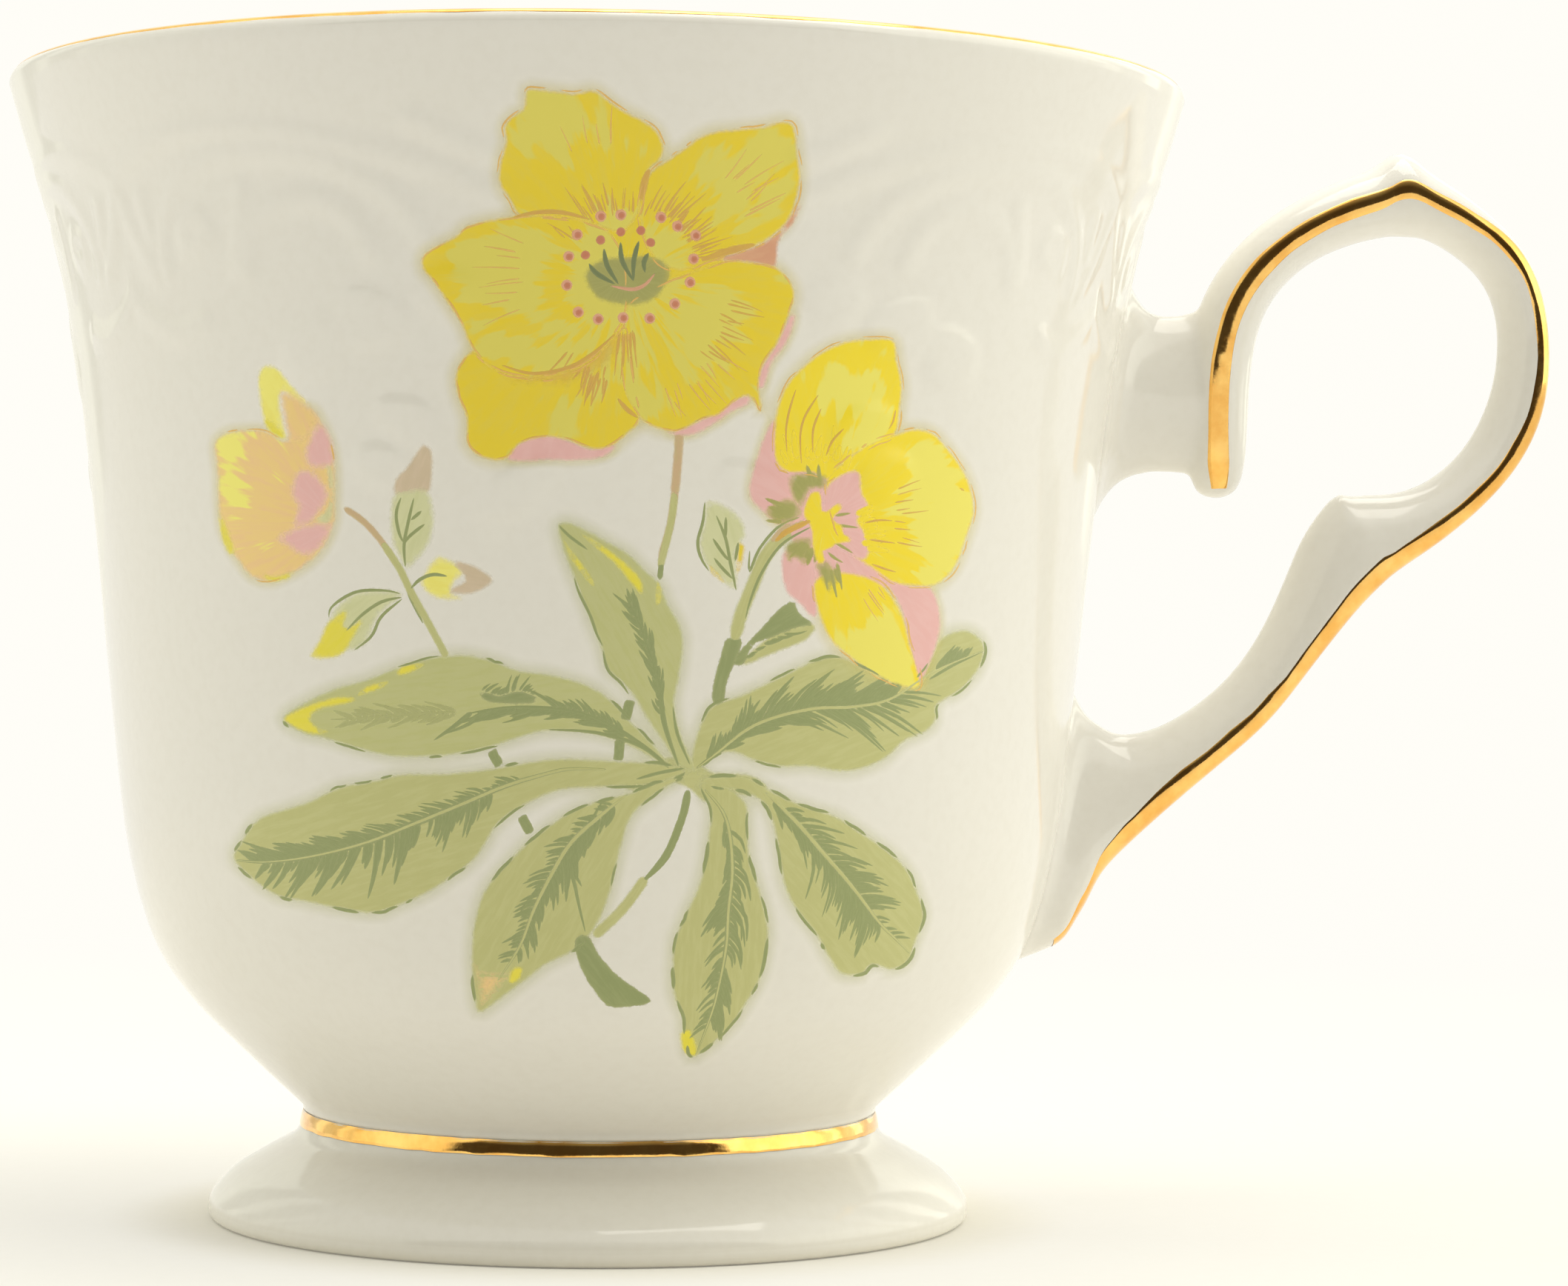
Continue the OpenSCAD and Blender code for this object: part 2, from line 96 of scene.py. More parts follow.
# The bouquet, drawn flat as (x, height) in mm and wrapped onto the front of the bowl.
ART = {
    "petal_top": [(-4.7, 65), (-5.4, 66), (-6, 67), (-5.9, 68.2), (-5.6, 69.3), (-5.7, 70.2),
        (-5.2, 70.8), (-4.5, 71.3), (-4.4, 72.3), (-3.5, 72.3), (-2.5, 72.2), (-1.5, 72.1), (-0.4, 72.3),
        (0.4, 71.8), (1.3, 71.2), (2.4, 70.7), (3.3, 70.1), (3.8, 69.2), (3.6, 68.4), (2.9, 67.7),
        (2.6, 66.7), (2.4, 65.4), (1.3, 64.1), (-0.8, 64.7), (-2.8, 64.9)],
    "petal_right": [(2.4, 65.1), (2.6, 66.7), (3.1, 67.7), (4.1, 68.4), (5.1, 69.1), (5.9, 69.7),
        (6.9, 70.1), (8.3, 70.3), (9.8, 70.5), (10.7, 70.8), (11.5, 70.8), (11.8, 70), (11.9, 68.8),
        (12.1, 67.7), (11.9, 66.4), (11.5, 65.2), (10.7, 64.3), (9.5, 63.5), (7.9, 63), (6.4, 62.5),
        (4.9, 61.9), (3.3, 62.6)],
    "petal_left": [(1.6, 62.4), (0.6, 64.1), (-0.8, 64.7), (-2.5, 65), (-4.4, 65), (-6.2, 64.8),
        (-7.9, 64.4), (-8.6, 63.8), (-9.8, 63.2), (-10.6, 62.6), (-10.6, 61.9), (-10, 61.2),
        (-9.3, 60.2), (-8.7, 59.3), (-8.2, 58.5), (-7.7, 57.3), (-6.9, 56.3), (-5.7, 55.6), (-4.3, 55.4),
        (-2.7, 55.5), (-1.2, 56), (0, 56.8), (1, 57.9), (1.7, 59.4)],
    "petal_low_left": [(-7.5, 56.9), (-8.2, 56.4), (-8.6, 55.4), (-8.4, 54.2), (-7.9, 52.9),
        (-7.9, 51.6), (-7.4, 50.8), (-6.4, 50.4), (-5.4, 50.5), (-4.6, 51.4), (-3, 51.8), (-1.7, 51.6),
        (-0.3, 51.1), (0.9, 51.3), (1.9, 52.1), (2.6, 53), (2.2, 55.7), (1.7, 58.5), (0.7, 57.5),
        (-1, 56), (-3.1, 55.3), (-5.1, 55.5), (-6.5, 56.1)],
    "petal_low_right": [(1.7, 59.7), (1.4, 57.4), (1.4, 55.7), (1.7, 54.3), (2.6, 53), (3.4, 52.5),
        (4.5, 52.2), (5.3, 52.4), (6.4, 53), (7.4, 53.3), (8.3, 54.1), (9.1, 54.5), (9.5, 54.2),
        (9.9, 53.4), (10, 54), (9.8, 55), (10, 56.3), (10.9, 57.7), (11.5, 59.2), (11.9, 60.5),
        (11.6, 61.5), (10.7, 62.3), (9.5, 62.5), (7.9, 62.6), (6.6, 62.2), (4.7, 61.5), (3, 60.7)],
    "lemon_top": [(-5.3, 69.9), (-4.4, 71.9), (-3, 72.2), (-1, 71.9), (-0.1, 70.9), (1.1, 70.1),
        (1.4, 69.2), (0.3, 68.9), (-0.9, 69.4), (-1.7, 68.6), (-2.7, 68.2), (-3.9, 68.4), (-5, 68.7)],
    "lemon_right": [(6.2, 67.4), (7.4, 68.6), (8.9, 69.6), (10.4, 70.3), (11.4, 69.9), (11.5, 68.4),
        (10.5, 67.3), (9, 66.6), (8.2, 65.4), (7.2, 65.1), (7.1, 66.3)],
    "lemon_right2": [(8, 64.1), (9.4, 65.3), (10.7, 66.9), (11, 66.1), (9.9, 64.8), (8.7, 63.8)],
    "lemon_left": [(-8.8, 63.3), (-7.3, 64), (-5, 64.1), (-3.4, 63.7), (-2.4, 62.8), (-3.2, 61.8),
        (-3.4, 60.8), (-3.3, 59.8), (-2.4, 59.1), (-1, 58.4), (-2.4, 57.9), (-4.4, 58.4), (-6, 59.4),
        (-7.7, 60.1), (-8.8, 61.5)],
    "lemon_left2": [(-8.1, 59.3), (-7.3, 57.5), (-5.8, 56.3), (-4.2, 55.8), (-2.4, 55.9), (-0.7, 56.7),
        (0.8, 58.2), (-0.7, 57.7), (-2.4, 57.3), (-4.2, 57.4), (-6, 58.3)],
    "lemon_ring": [(-1, 64.1), (0.3, 65), (2.4, 65.2), (4.1, 64.8), (5.2, 63.4), (4.9, 61.5),
        (4.1, 59.8), (2.9, 58.7), (0.9, 58.4), (-0.7, 58.8), (-1.5, 59.8), (-1.7, 61.5), (-1.5, 62.8)],
    "lemon_low_right": [(3.7, 59), (5.1, 59.8), (6.6, 60.8), (8.5, 60.8), (9.5, 59.5), (8.5, 58.3),
        (7.7, 57.2), (7.1, 56), (5.9, 55.8), (4.7, 56.7), (4.1, 57.7)],
    "lemon_low_left": [(1.4, 57), (1.6, 55.3), (0.3, 54.2), (-1, 53.2), (-1.7, 52), (-2.7, 52.2),
        (-2.2, 53.5), (-1, 54.5), (0.3, 56)],
    "lemon_low_edge": [(1.9, 58.2), (2.6, 58.3), (2.9, 56.7), (2.6, 55.3), (3.3, 53.7), (2.4, 53.5),
        (1.8, 55), (1.6, 56.7)],
    "shade_left": [(-6.4, 56.6), (-4.6, 56.3), (-3.0, 56.3), (-1.4, 56.7), (-0.3, 57.6), (1.1, 58.7),
        (1.6, 57.6), (1.0, 56.2), (-0.1, 55.4), (-1.0, 55.2), (-1.9, 54.7), (-3.4, 54.8), (-4.4, 54.8),
        (-5.5, 55.1)],
    "under_fold": [(-7.6, 57.0), (-5.0, 56.8), (-2.0, 57.2), (0.8, 59.0), (2.2, 57.0), (2.4, 53.6),
        (0.5, 54.4), (-2.0, 54.3), (-5.0, 54.4), (-7.2, 55.6)],
    "shade_top": [(-5.2, 64.9), (-3.7, 65.2), (-2.2, 65.2), (-0.5, 64.8)],
    "shade_top2": [(3, 67.9), (2.7, 67.1), (2.5, 65.9)],
    "shade_right": [(6.1, 62.5), (7.7, 63.1), (9.5, 63.6)],
    "shade_low": [(1.2, 54.2), (1.8, 53.5), (2.5, 53)],
    "shade_low2": [(-5.8, 56.1), (-3.9, 55.6), (-1.7, 56), (-0.1, 57), (1.1, 58.1)],
    "s_spike0": [(14.6, 47.3), (15.1, 47.4), (15.7, 47.5)],
    "s_spike1": [(14.5, 46.7), (15.2, 46.7), (16.2, 46.6)],
    "s_spike2": [(14.6, 45.7), (15.2, 45.4), (15.9, 45)],
    "s_spike3": [(14.2, 45.1), (14.7, 44.7), (15.3, 44.4)],
    "s_vein0": [(12.1, 55), (11.7, 53.7), (11.5, 52.4), (11.6, 51.1)],
    "s_vein1": [(13.5, 54.7), (12.7, 53.4), (12.4, 52.2), (12.5, 50.4)],
    "s_vein2": [(13.7, 53.9), (13.2, 52.6), (13.2, 51.1)],
    "s_vein3": [(15.1, 52.7), (14.4, 51.9), (14, 50.9)],
    "s_vein4": [(16.5, 46.9), (17.4, 47.1), (18.4, 47.1)],
    "s_vein5": [(16.8, 45.9), (17.7, 45.8), (18.6, 45.7)],
    "s_vein6": [(17, 44.4), (17.9, 44.1), (18.7, 43.9)],
    "s_vein7": [(18.4, 54), (18.2, 53.2), (17.9, 52.7)],
    "s_vein8": [(22.7, 49.3), (23.1, 49.1)],
    "under_low": [(-5.5, 50.5), (-4.6, 51.5), (-3.1, 51.9), (-1.7, 51.6), (-0.3, 51.1), (1.2, 51.5),
        (0.6, 50.7), (-1, 50.4), (-3, 50.4), (-4.4, 50.3)],
    "under_low_right": [(4.1, 52.3), (5.3, 52.5), (6.5, 53.1), (8.2, 54.2), (9.2, 54.5), (9.2, 54),
        (8.2, 53.5), (7.2, 52.8), (6, 52.1), (4.9, 52)],
    "under_edge": [(9.7, 55.1), (10, 56.3), (10.9, 57.8), (11.7, 59.5), (12, 59.3), (11.5, 57.8),
        (10.6, 56.5), (10.1, 55)],
    "under_right": [(6.9, 62.6), (8.4, 63.1), (10.1, 63.8), (11, 64.6), (12, 66), (12.2, 66.2),
        (11.8, 65), (10.9, 63.9), (10.7, 62.3), (9.4, 62.5), (8.1, 62.5)],
    "eye": [(-0.9, 61.4), (-0.4, 62.2), (0.6, 62.6), (1.8, 62.7), (3, 62.8), (4, 62.4), (4.4, 61.7),
        (4, 60.8), (3.4, 60.1), (2.2, 59.7), (0.8, 59.8), (-0.2, 60.2)],
    "pistil0": [(-0.6, 62.2), (-0.1, 61.6), (1, 61)],
    "pistil1": [(0.3, 63.1), (0.5, 62.1), (1.2, 61)],
    "pistil2": [(1.3, 63.5), (1.4, 62.4), (2.1, 61.2)],
    "pistil3": [(2.4, 63.6), (2.1, 62.4), (2.1, 61.2)],
    "pistil4": [(3, 62.9), (2.7, 62.3), (2.8, 61.7)],
    "pistil5": [(0.7, 60.9), (2, 60.7), (2.8, 61), (3.4, 61.7)],
    "anthers": [(0.1, 65), (1.3, 65.1), (3.7, 65), (-1.3, 63.9), (4.7, 64.5), (5.8, 64), (-1.8, 62.6),
        (5.7, 62.6), (-1.9, 60.9), (5.5, 61.2), (-1.2, 59.3), (4.6, 59.9), (0, 58.9), (1.5, 59), (3.1, 59)],
    "anthers_in": [(1.3, 64.1), (2.5, 64.2), (0.1, 63.6), (3.1, 63.5), (-0.8, 62.7)],
    "s_up": [(10.9, 50.6), (10.8, 52.2), (11, 53.9), (11.6, 55.3), (12.7, 56.5), (13.9, 57.4),
        (15.3, 58), (16.7, 58.2), (18.1, 58.2), (18.4, 57.1), (18.8, 55.6), (18.7, 54), (18.4, 52.4),
        (16.9, 51.7), (15.2, 50.7), (14.3, 49.5), (13.2, 49.9), (11.7, 49.9)],
    "s_right": [(14.1, 49.5), (15.2, 50.7), (16.9, 51.9), (18.4, 52.4), (19.6, 52.8), (20.9, 52.6),
        (22, 51.6), (23, 50.4), (23.6, 49.1), (23.8, 47.8), (23.4, 46.4), (22.8, 44.7), (22.1, 43.7),
        (21.1, 43.1), (19.7, 43.1), (18.4, 43.3), (17, 44.2), (16, 44.8), (15, 46), (14.3, 47.9)],
    "s_low": [(13.4, 43.1), (14.4, 43.8), (15.7, 43.8), (17, 43.5), (18, 42.9), (19.1, 41.3),
        (19.7, 39.3), (20.4, 36.8), (18.8, 36.9), (17.1, 37.7), (15.8, 38.6), (14.6, 39.6), (13.8, 41.2)],
    "s_pink_low": [(17.7, 43.8), (19.4, 43.1), (20.9, 43), (21.5, 42), (21.7, 40.7), (21.4, 39.2),
        (20.7, 37.5), (20.3, 36.9), (19.7, 39.2), (19.1, 41.5), (18.4, 42.7)],
    "s_pink_left": [(10.9, 53.1), (10.3, 52.3), (9.8, 50.9), (9.3, 49.2), (9.4, 48.2), (10.3, 47.3),
        (11.1, 46.7), (12.7, 46.9), (13.2, 48.2), (12, 49.7), (11.1, 50.6)],
    "s_pink_top": [(11, 50.6), (12.2, 51.1), (13.2, 50.1), (14.2, 50.7), (14.3, 49.5), (13.5, 48.5),
        (12.5, 49.4), (11.6, 49.7)],
    "s_pink_right": [(13.9, 48.5), (14.8, 49.7), (16.1, 50.1), (16.3, 48.9), (16.8, 47.9), (16.1, 47.1),
        (16.5, 46.4), (16.9, 45.4), (16.5, 44.6), (15, 45.3), (14.3, 46)],
    "s_pink_lowleft": [(11.4, 44.8), (11.6, 42.8), (12.5, 41.9), (13.6, 41), (13.6, 43.1), (13.3, 44.9),
        (12.3, 45.5)],
    "s_green_top": [(11.7, 49.6), (12.7, 50), (14.1, 49.8), (14.1, 48.9), (13.1, 48.8), (12.7, 47.7),
        (11.9, 48.3)],
    "s_green_left": [(10.3, 47.7), (11.8, 48.4), (12.7, 47.4), (11.3, 46.6), (10.4, 47.1)],
    "s_green_low": [(11.5, 45.6), (13.2, 46), (13.2, 44.8), (12.8, 44.1), (12.2, 44.6), (11.8, 44.2)],
    "s_green_lowright": [(13.4, 44.3), (14.3, 44.6), (14.9, 43.6), (15.2, 43.2), (14.6, 43),
        (14.8, 42.2), (14.2, 42.7), (13.8, 43.4)],
    "s_heart": [(13.1, 48.6), (13.7, 48.7), (13.9, 47.5), (14.9, 48.1), (15.1, 47.8), (14.5, 47.1),
        (15.3, 46.6), (15.1, 46.3), (15.8, 45.8), (14.8, 45.6), (14.4, 45.3), (13.9, 45.1), (14.1, 44.5),
        (13.6, 44.4), (13.3, 45.5), (13.2, 46.5), (12.7, 47.4)],
    "s_lemon_up": [(13.9, 56.4), (15.1, 56.5), (16, 56), (17.7, 55.4), (17.5, 54.4), (17.9, 53.1),
        (17.7, 52.2), (16.4, 51.4), (15.2, 50.7), (15.1, 51.9), (15.7, 53.1), (14.7, 53.7), (13.7, 54.2),
        (13.6, 55.4)],
    "s_lemon_right": [(19.2, 51.7), (20.8, 52.2), (22.3, 50.9), (23.7, 48.8), (23.8, 46.8), (22.8, 44.5),
        (21.3, 42.8), (20.3, 43.2), (20.2, 44.1), (20.7, 45), (19.7, 45.8), (19.4, 47.1), (18.9, 48.3),
        (19.7, 49.8), (19.4, 50.8)],
    "s_lemon_low": [(18.4, 41.3), (19.4, 39.8), (20, 37.7), (20.2, 36), (18.4, 36.4), (16.4, 37.4),
        (15.1, 38.9), (14.4, 40), (15.6, 40), (16.7, 40.2), (17.7, 41)],
    "b_body": [(-23.9, 51.5), (-23.5, 52), (-22.6, 52.3), (-20.5, 52.3), (-19.1, 51.6), (-18.5, 53.3),
        (-17.5, 53.6), (-16.8, 52.6), (-16.2, 51.2), (-16, 49.6), (-16, 47.7), (-16.1, 46.4),
        (-16.8, 44.9), (-17.9, 43.9), (-19, 43.3), (-20.2, 42.9), (-21.4, 43.2), (-22.3, 44.2),
        (-23.2, 45.6), (-23.6, 47.2), (-23.7, 49.8)],
    "b_lemon_top": [(-21, 55.3), (-20.8, 56.1), (-20.3, 56.3), (-19.7, 56.1), (-19, 55.3), (-18.2, 54.4),
        (-17.5, 53.7), (-18.4, 53.9), (-19.4, 54.6), (-19.5, 53.7), (-19.3, 52.7), (-19.1, 51.7),
        (-19.8, 51.9), (-20.5, 52.6), (-20.8, 53.6)],
    "b_peach_top": [(-19.6, 54.7), (-18.4, 54.5), (-17.5, 53.7), (-16.9, 52.7), (-17.8, 51.6),
        (-18.5, 51.5), (-19.1, 51.7), (-19.4, 53)],
    "b_lemon_left": [(-23.9, 51.6), (-23.3, 52.2), (-22, 52.3), (-21.4, 51.9), (-22, 50.3),
        (-21.9, 48.9), (-21.4, 47.9), (-22.3, 47.1), (-23.2, 47.7), (-23.7, 49.8)],
    "b_yellow1": [(-20.6, 53.1), (-19.7, 52.6), (-19.1, 51.7), (-19.9, 51.9), (-20.4, 52.4)],
    "b_yellow2": [(-23.6, 47.4), (-23.1, 46.5), (-22.5, 45), (-22.7, 44.4), (-23.4, 45.5)],
    "b_yellow3": [(-20.8, 43.4), (-19.7, 43.3), (-18.5, 43.6), (-19.1, 43), (-20.2, 42.9)],
    "b_pink1": [(-17.3, 52.4), (-16.8, 52.6), (-16.2, 51.6), (-16, 50.5), (-16.2, 50), (-17.2, 49.9),
        (-17.8, 50.2), (-17.9, 51.1), (-17.6, 51.7)],
    "b_pink2": [(-18.8, 48.5), (-18.4, 49.7), (-17.6, 49.8), (-16.8, 49.1), (-16.4, 48.2), (-17, 47.1),
        (-17.9, 46.3), (-18.7, 46.4), (-18.4, 47.4)],
    "b_pink3": [(-19.7, 45.6), (-18.4, 46.3), (-16.2, 46.6), (-16.8, 45.1), (-17.9, 44.5), (-19, 45.1)],
    "b_green": [(-16.6, 50.1), (-16.2, 50.1), (-16, 49.1), (-16, 47.7), (-16.3, 46.5), (-17.4, 46.6),
        (-16.6, 47.4), (-16.4, 48.3)],
    "b_stem": [(-15.5, 47.5), (-14.2, 46.6), (-13.1, 45.4), (-12, 43.8), (-11.3, 42.4), (-10.1, 40.3),
        (-9, 38.3)],
    "bud1_pink": [(-10.5, 51.3), (-10, 50.9), (-10, 49.6), (-10.2, 48.4), (-11.3, 48.2), (-12.3, 48.2),
        (-12.2, 49.2), (-11.5, 50), (-10.9, 50.9)],
    "bud1_green": [(-12.3, 48.4), (-11.3, 48.6), (-10.2, 48.5), (-9.8, 46.8), (-10.1, 45.3),
        (-10.9, 44.2), (-11.6, 43.7), (-12.5, 45.4), (-12.6, 47.3)],
    "bud1_v0": [(-11.9, 48.1), (-12.2, 47.1), (-12, 45.9), (-11.7, 45.3)],
    "bud1_v1": [(-11.1, 48.1), (-11.4, 46.8), (-11.7, 45.2), (-11.6, 43.8)],
    "bud1_v2": [(-10.6, 47.3), (-11.3, 46.7)],
    "bud1_v3": [(-10.4, 46.5), (-11.4, 45.7), (-11.7, 45.2)],
    "bud2_lemon": [(-10.5, 43.5), (-9.7, 44.5), (-8.8, 44.3), (-7.8, 43.7), (-8.5, 43), (-8.7, 42.3),
        (-7.8, 42), (-8.9, 41.8), (-9.9, 42), (-10.7, 42.7)],
    "bud2_pink": [(-8.8, 44.2), (-7.8, 44.1), (-6.9, 43.7), (-6.2, 43.1), (-6.9, 42.5), (-7.8, 42.2),
        (-9.1, 42.4), (-7.9, 43.1)],
    "bud2_v": [(-11.3, 42.5), (-10.7, 43.1), (-9.9, 43.4), (-9, 43.3)],
    "sprig": [(-11.7, 42.2), (-12.9, 42.5), (-14.6, 42.4), (-15.7, 41.7), (-16.4, 40.7), (-16.6, 39.2),
        (-15.4, 38.6), (-14, 39.1), (-13.3, 40.7), (-12.4, 41.5)],
    "sprig_yellow": [(-16.5, 40.4), (-15.2, 41.3), (-15.4, 40.1), (-14.2, 40.7), (-14.8, 39.5),
        (-15.7, 38.3), (-17.6, 38.2), (-17, 39.4)],
    "sprig_v0": [(-16.4, 40.7), (-16.2, 41.4), (-14.7, 42.3), (-12.9, 42.4), (-11.9, 42.2)],
    "sprig_v1": [(-11.8, 42), (-13.1, 41.7), (-14.3, 40.9), (-15.3, 39.9)],
    "sprig_v2": [(-11.8, 41.9), (-13.1, 40.8), (-13.7, 39.6), (-14.8, 38.7)],
    "sprig_v3": [(-11.5, 42.3), (-11, 41.4), (-10.5, 40.4)],
    "lf_ul": [(-19.4, 34.4), (-17.8, 35.5), (-15.8, 36.4), (-14, 36.9), (-12.3, 37.6), (-10.1, 38.3),
        (-8, 38.5), (-6.3, 38.2), (-4.6, 37.6), (-2.4, 37.3), (-0.3, 36.7), (1.2, 35.7), (2.2, 34.6),
        (3.5, 33.3), (4.7, 31.7), (2.7, 32.8), (1, 33.5), (-0.9, 33.9), (-3, 33.9), (-4.5, 33.5),
        (-6.6, 32.8), (-9.2, 32.3), (-12.2, 32.2), (-14.4, 32.6), (-16.6, 33.2), (-18.1, 33.5)],
    "lf_ul_tip": [(-19.4, 34.4), (-17.6, 35.4), (-15.8, 35.9), (-14.6, 35.8), (-14.9, 35.4), (-16.7, 35),
        (-17.5, 34.5), (-17, 33.9), (-16.2, 33.7), (-16.9, 33.4), (-18, 33.5)],
    "lf_ul_y2": [(-14.7, 35.9), (-14, 36.6), (-12.6, 36.9), (-12.9, 36.4), (-14.2, 35.9)],
    "lf_ul_y3": [(-12.2, 37.3), (-11.8, 37.9), (-10.3, 38), (-10.8, 37.5), (-11.8, 37.1)],
    "lf_ul_rib": [(4.6, 31.8), (3.4, 32.8), (1.2, 34.2), (-0.7, 35), (-2.8, 35.3), (-5.4, 35.3),
        (-7.8, 34.9), (-10.1, 33.3)],
    "lf_ul_rib2": [(4.6, 31.7), (3.1, 32.9), (1.6, 33.5), (-0.3, 33.9), (-2.8, 34)],
    "lf_ul_wedge": [(-7, 36.3), (-5.8, 36), (-4.6, 36.3), (-3.4, 35.9), (-4.1, 35.6), (-5.8, 35.6),
        (-6.7, 35.8)],
    "lf_l": [(-22.7, 25.4), (-22.1, 26.6), (-21, 28), (-18.9, 28.8), (-17.5, 29.3), (-15.7, 30.2),
        (-13.8, 30.6), (-11.8, 31.1), (-9.2, 31.2), (-6.6, 31.5), (-4.5, 31.9), (-2.4, 32.2),
        (-0.3, 32.2), (1.8, 32.1), (4.6, 31.9), (5.6, 31.4), (3.5, 30.7), (0.6, 30.5), (-2, 30.3),
        (-4.1, 29.4), (-5.8, 28.2), (-7.1, 26.1), (-8.7, 24.8), (-10, 23.9), (-11.8, 23), (-13.5, 22.4),
        (-15.8, 22.6), (-17.8, 22.9), (-19.8, 23.2), (-21.5, 24.2)],
    "lf_l_rib": [(0.8, 31.6), (-1.5, 31.6), (-3.2, 31.2), (-5.4, 30.5), (-7.9, 29.4), (-10.9, 28.1),
        (-14, 26.8), (-17.5, 25.8), (-20.5, 25.3), (-22.5, 25.3)],
    "lf_ll": [(5.6, 31.3), (3.5, 30.7), (2.1, 30.1), (0.4, 29.7), (-1.5, 28.9), (-3.6, 27.4),
        (-5.2, 25.8), (-6.3, 24.5), (-6.9, 23.3), (-7.3, 21.6), (-7.4, 19.2), (-7.2, 16.9), (-6.9, 16.2),
        (-5.7, 17.1), (-4.2, 18.3), (-2.7, 19.5), (-1, 20.4), (0.2, 21.8), (1, 23.7), (1.4, 25.4),
        (1.8, 27.1), (2.4, 28.8), (4, 30.2)],
    "lf_ll_rib": [(2.1, 30.1), (0.4, 28.7), (-1.3, 27.1), (-2.5, 25.1), (-3.6, 22.8), (-4.4, 20.6),
        (-5.8, 18.3)],
    "lf_ll_rib2": [(0.6, 29.7), (-1.2, 26.2), (-1, 24.1), (-0.4, 21.5)],
    "lf_ll_pink": [(-7.4, 21.6), (-7.1, 20.5), (-6.6, 19.2), (-4.4, 19.2), (-5.1, 18.1), (-6.9, 16.2),
        (-7.3, 17.4), (-7.5, 19.6)],
    "lf_ll_y": [(-5.1, 18.3), (-4.9, 19.1), (-4.3, 19.2), (-4.4, 18.5), (-4.9, 18.2)],
    "stem_down": [(5.8, 30.4), (5.5, 28.8), (4.5, 26.3), (3.1, 24.7)],
    "stem_down2": [(3.3, 25), (1.9, 23), (0.1, 21.2)],
    "cut": [(-0.9, 21.2), (-0.2, 21.2), (0.5, 20), (1.8, 18.6), (3.6, 17.3), (3.4, 16.9), (1.4, 16.7),
        (0.6, 17.2), (-0.5, 18.9), (-1, 20.4)],
    "bit1": [(-6.3, 32.7), (-5.7, 31.7)],
    "bit2": [(-4.4, 28.7), (-3.8, 27.6)],
    "bit3": [(2.2, 35.9), (1.9, 34.6)],
    "bit4": [(1.6, 33.5), (1.5, 32.1)],
    "lf_r": [(6, 31.6), (6.1, 33.1), (6.7, 34.8), (7.3, 35.6), (9, 36.2), (10.7, 37), (12.5, 37.9),
        (13.6, 38.4), (15.2, 38.6), (17.2, 37.7), (19.3, 36.8), (20.8, 38), (21.7, 39.7), (23, 40.3),
        (24.1, 40.1), (24.8, 39.3), (24.5, 38), (23.3, 36.6), (21.6, 35.6), (21.6, 34.8), (21, 34),
        (19.4, 33.3), (18.3, 32.3), (16.6, 31.6), (15.1, 31.5), (13.3, 31.8), (11.4, 31.8), (9.8, 32.2),
        (8.5, 32.7), (7.3, 32.4), (6.6, 31.8)],
    "lf_r_rib": [(6.3, 31.7), (7.5, 32.6), (9.4, 34.1), (11.3, 34.9), (13.7, 35.4), (16.1, 35.5),
        (18.5, 36), (21.3, 37.7), (24.9, 39.1)],
    "lf_lr": [(6.3, 31), (9.1, 31.2), (10.6, 30.5), (12.6, 29.5), (15, 28.7), (16.6, 27.7), (18.5, 26.4),
        (19.8, 25.2), (20.6, 23.6), (21.1, 22.1), (20.6, 20.5), (20.1, 19.1), (19, 18.7), (17.7, 19.1),
        (17.1, 18.5), (15.7, 18.6), (14.8, 19.8), (14, 21.2), (12.7, 22.8), (11.9, 24.4), (11.5, 26.4),
        (11.1, 28.3), (10.5, 29.5), (9.1, 30.3), (7.5, 30.5)],
    "lf_lr_rib": [(10.6, 30.2), (12.6, 28.3), (14.2, 26.5), (16.3, 24.1), (18, 21.9), (19.1, 20.8),
        (20.2, 19.7)],
    "lf_b": [(6.5, 30.8), (7.2, 29.1), (7.1, 27.6), (6.7, 24.9), (5.7, 22.5), (5.1, 21), (5, 19.4),
        (5.1, 17.6), (5.7, 16.1), (5.8, 15), (6.2, 13.3), (6.6, 13.3), (7.7, 14.2), (8.8, 15.4),
        (9.7, 16.9), (10.5, 18.5), (10.9, 20.7), (10.9, 21.9), (10.4, 23.9), (9.7, 26), (9.5, 28.3),
        (9.4, 29.5), (8.1, 30.6)],
    "lf_b_rib": [(6.8, 30.4), (7.9, 29.1), (8.4, 27.6), (8.6, 25.2), (8.4, 22.9), (8.3, 20.5),
        (7.8, 17.5), (7.4, 15.9), (6.6, 13.4)],
    "lf_b_tip": [(5.6, 14.9), (6.2, 15.1), (6.7, 13.7), (6.4, 13.3), (5.8, 13.7)],
    "dk_leaf": [(8.4, 38.3), (9.7, 39.8), (11.2, 41.4), (12.1, 42), (12.6, 41.2), (13.5, 40.6),
        (12.4, 40.4), (10.9, 39.8), (9.7, 39.3), (9.1, 38.1)],
    "dk_leaf_light": [(8.9, 38.1), (10.1, 39.4), (12, 40.6), (13.6, 40.6), (13, 39.6), (11.3, 38.9),
        (9.4, 38.1)],
    "dk_stem": [(8.1, 39.7), (9, 39.6), (8.6, 38.3), (8.1, 37), (7.9, 35.8), (7.2, 35.8), (7.4, 37.5),
        (7.8, 38.9)],
    "lf_u": [(-2.3, 46.5), (-1.5, 46.6), (-0.4, 46.1), (0.9, 45.4), (2.1, 44.7), (3, 43.8), (3.9, 43),
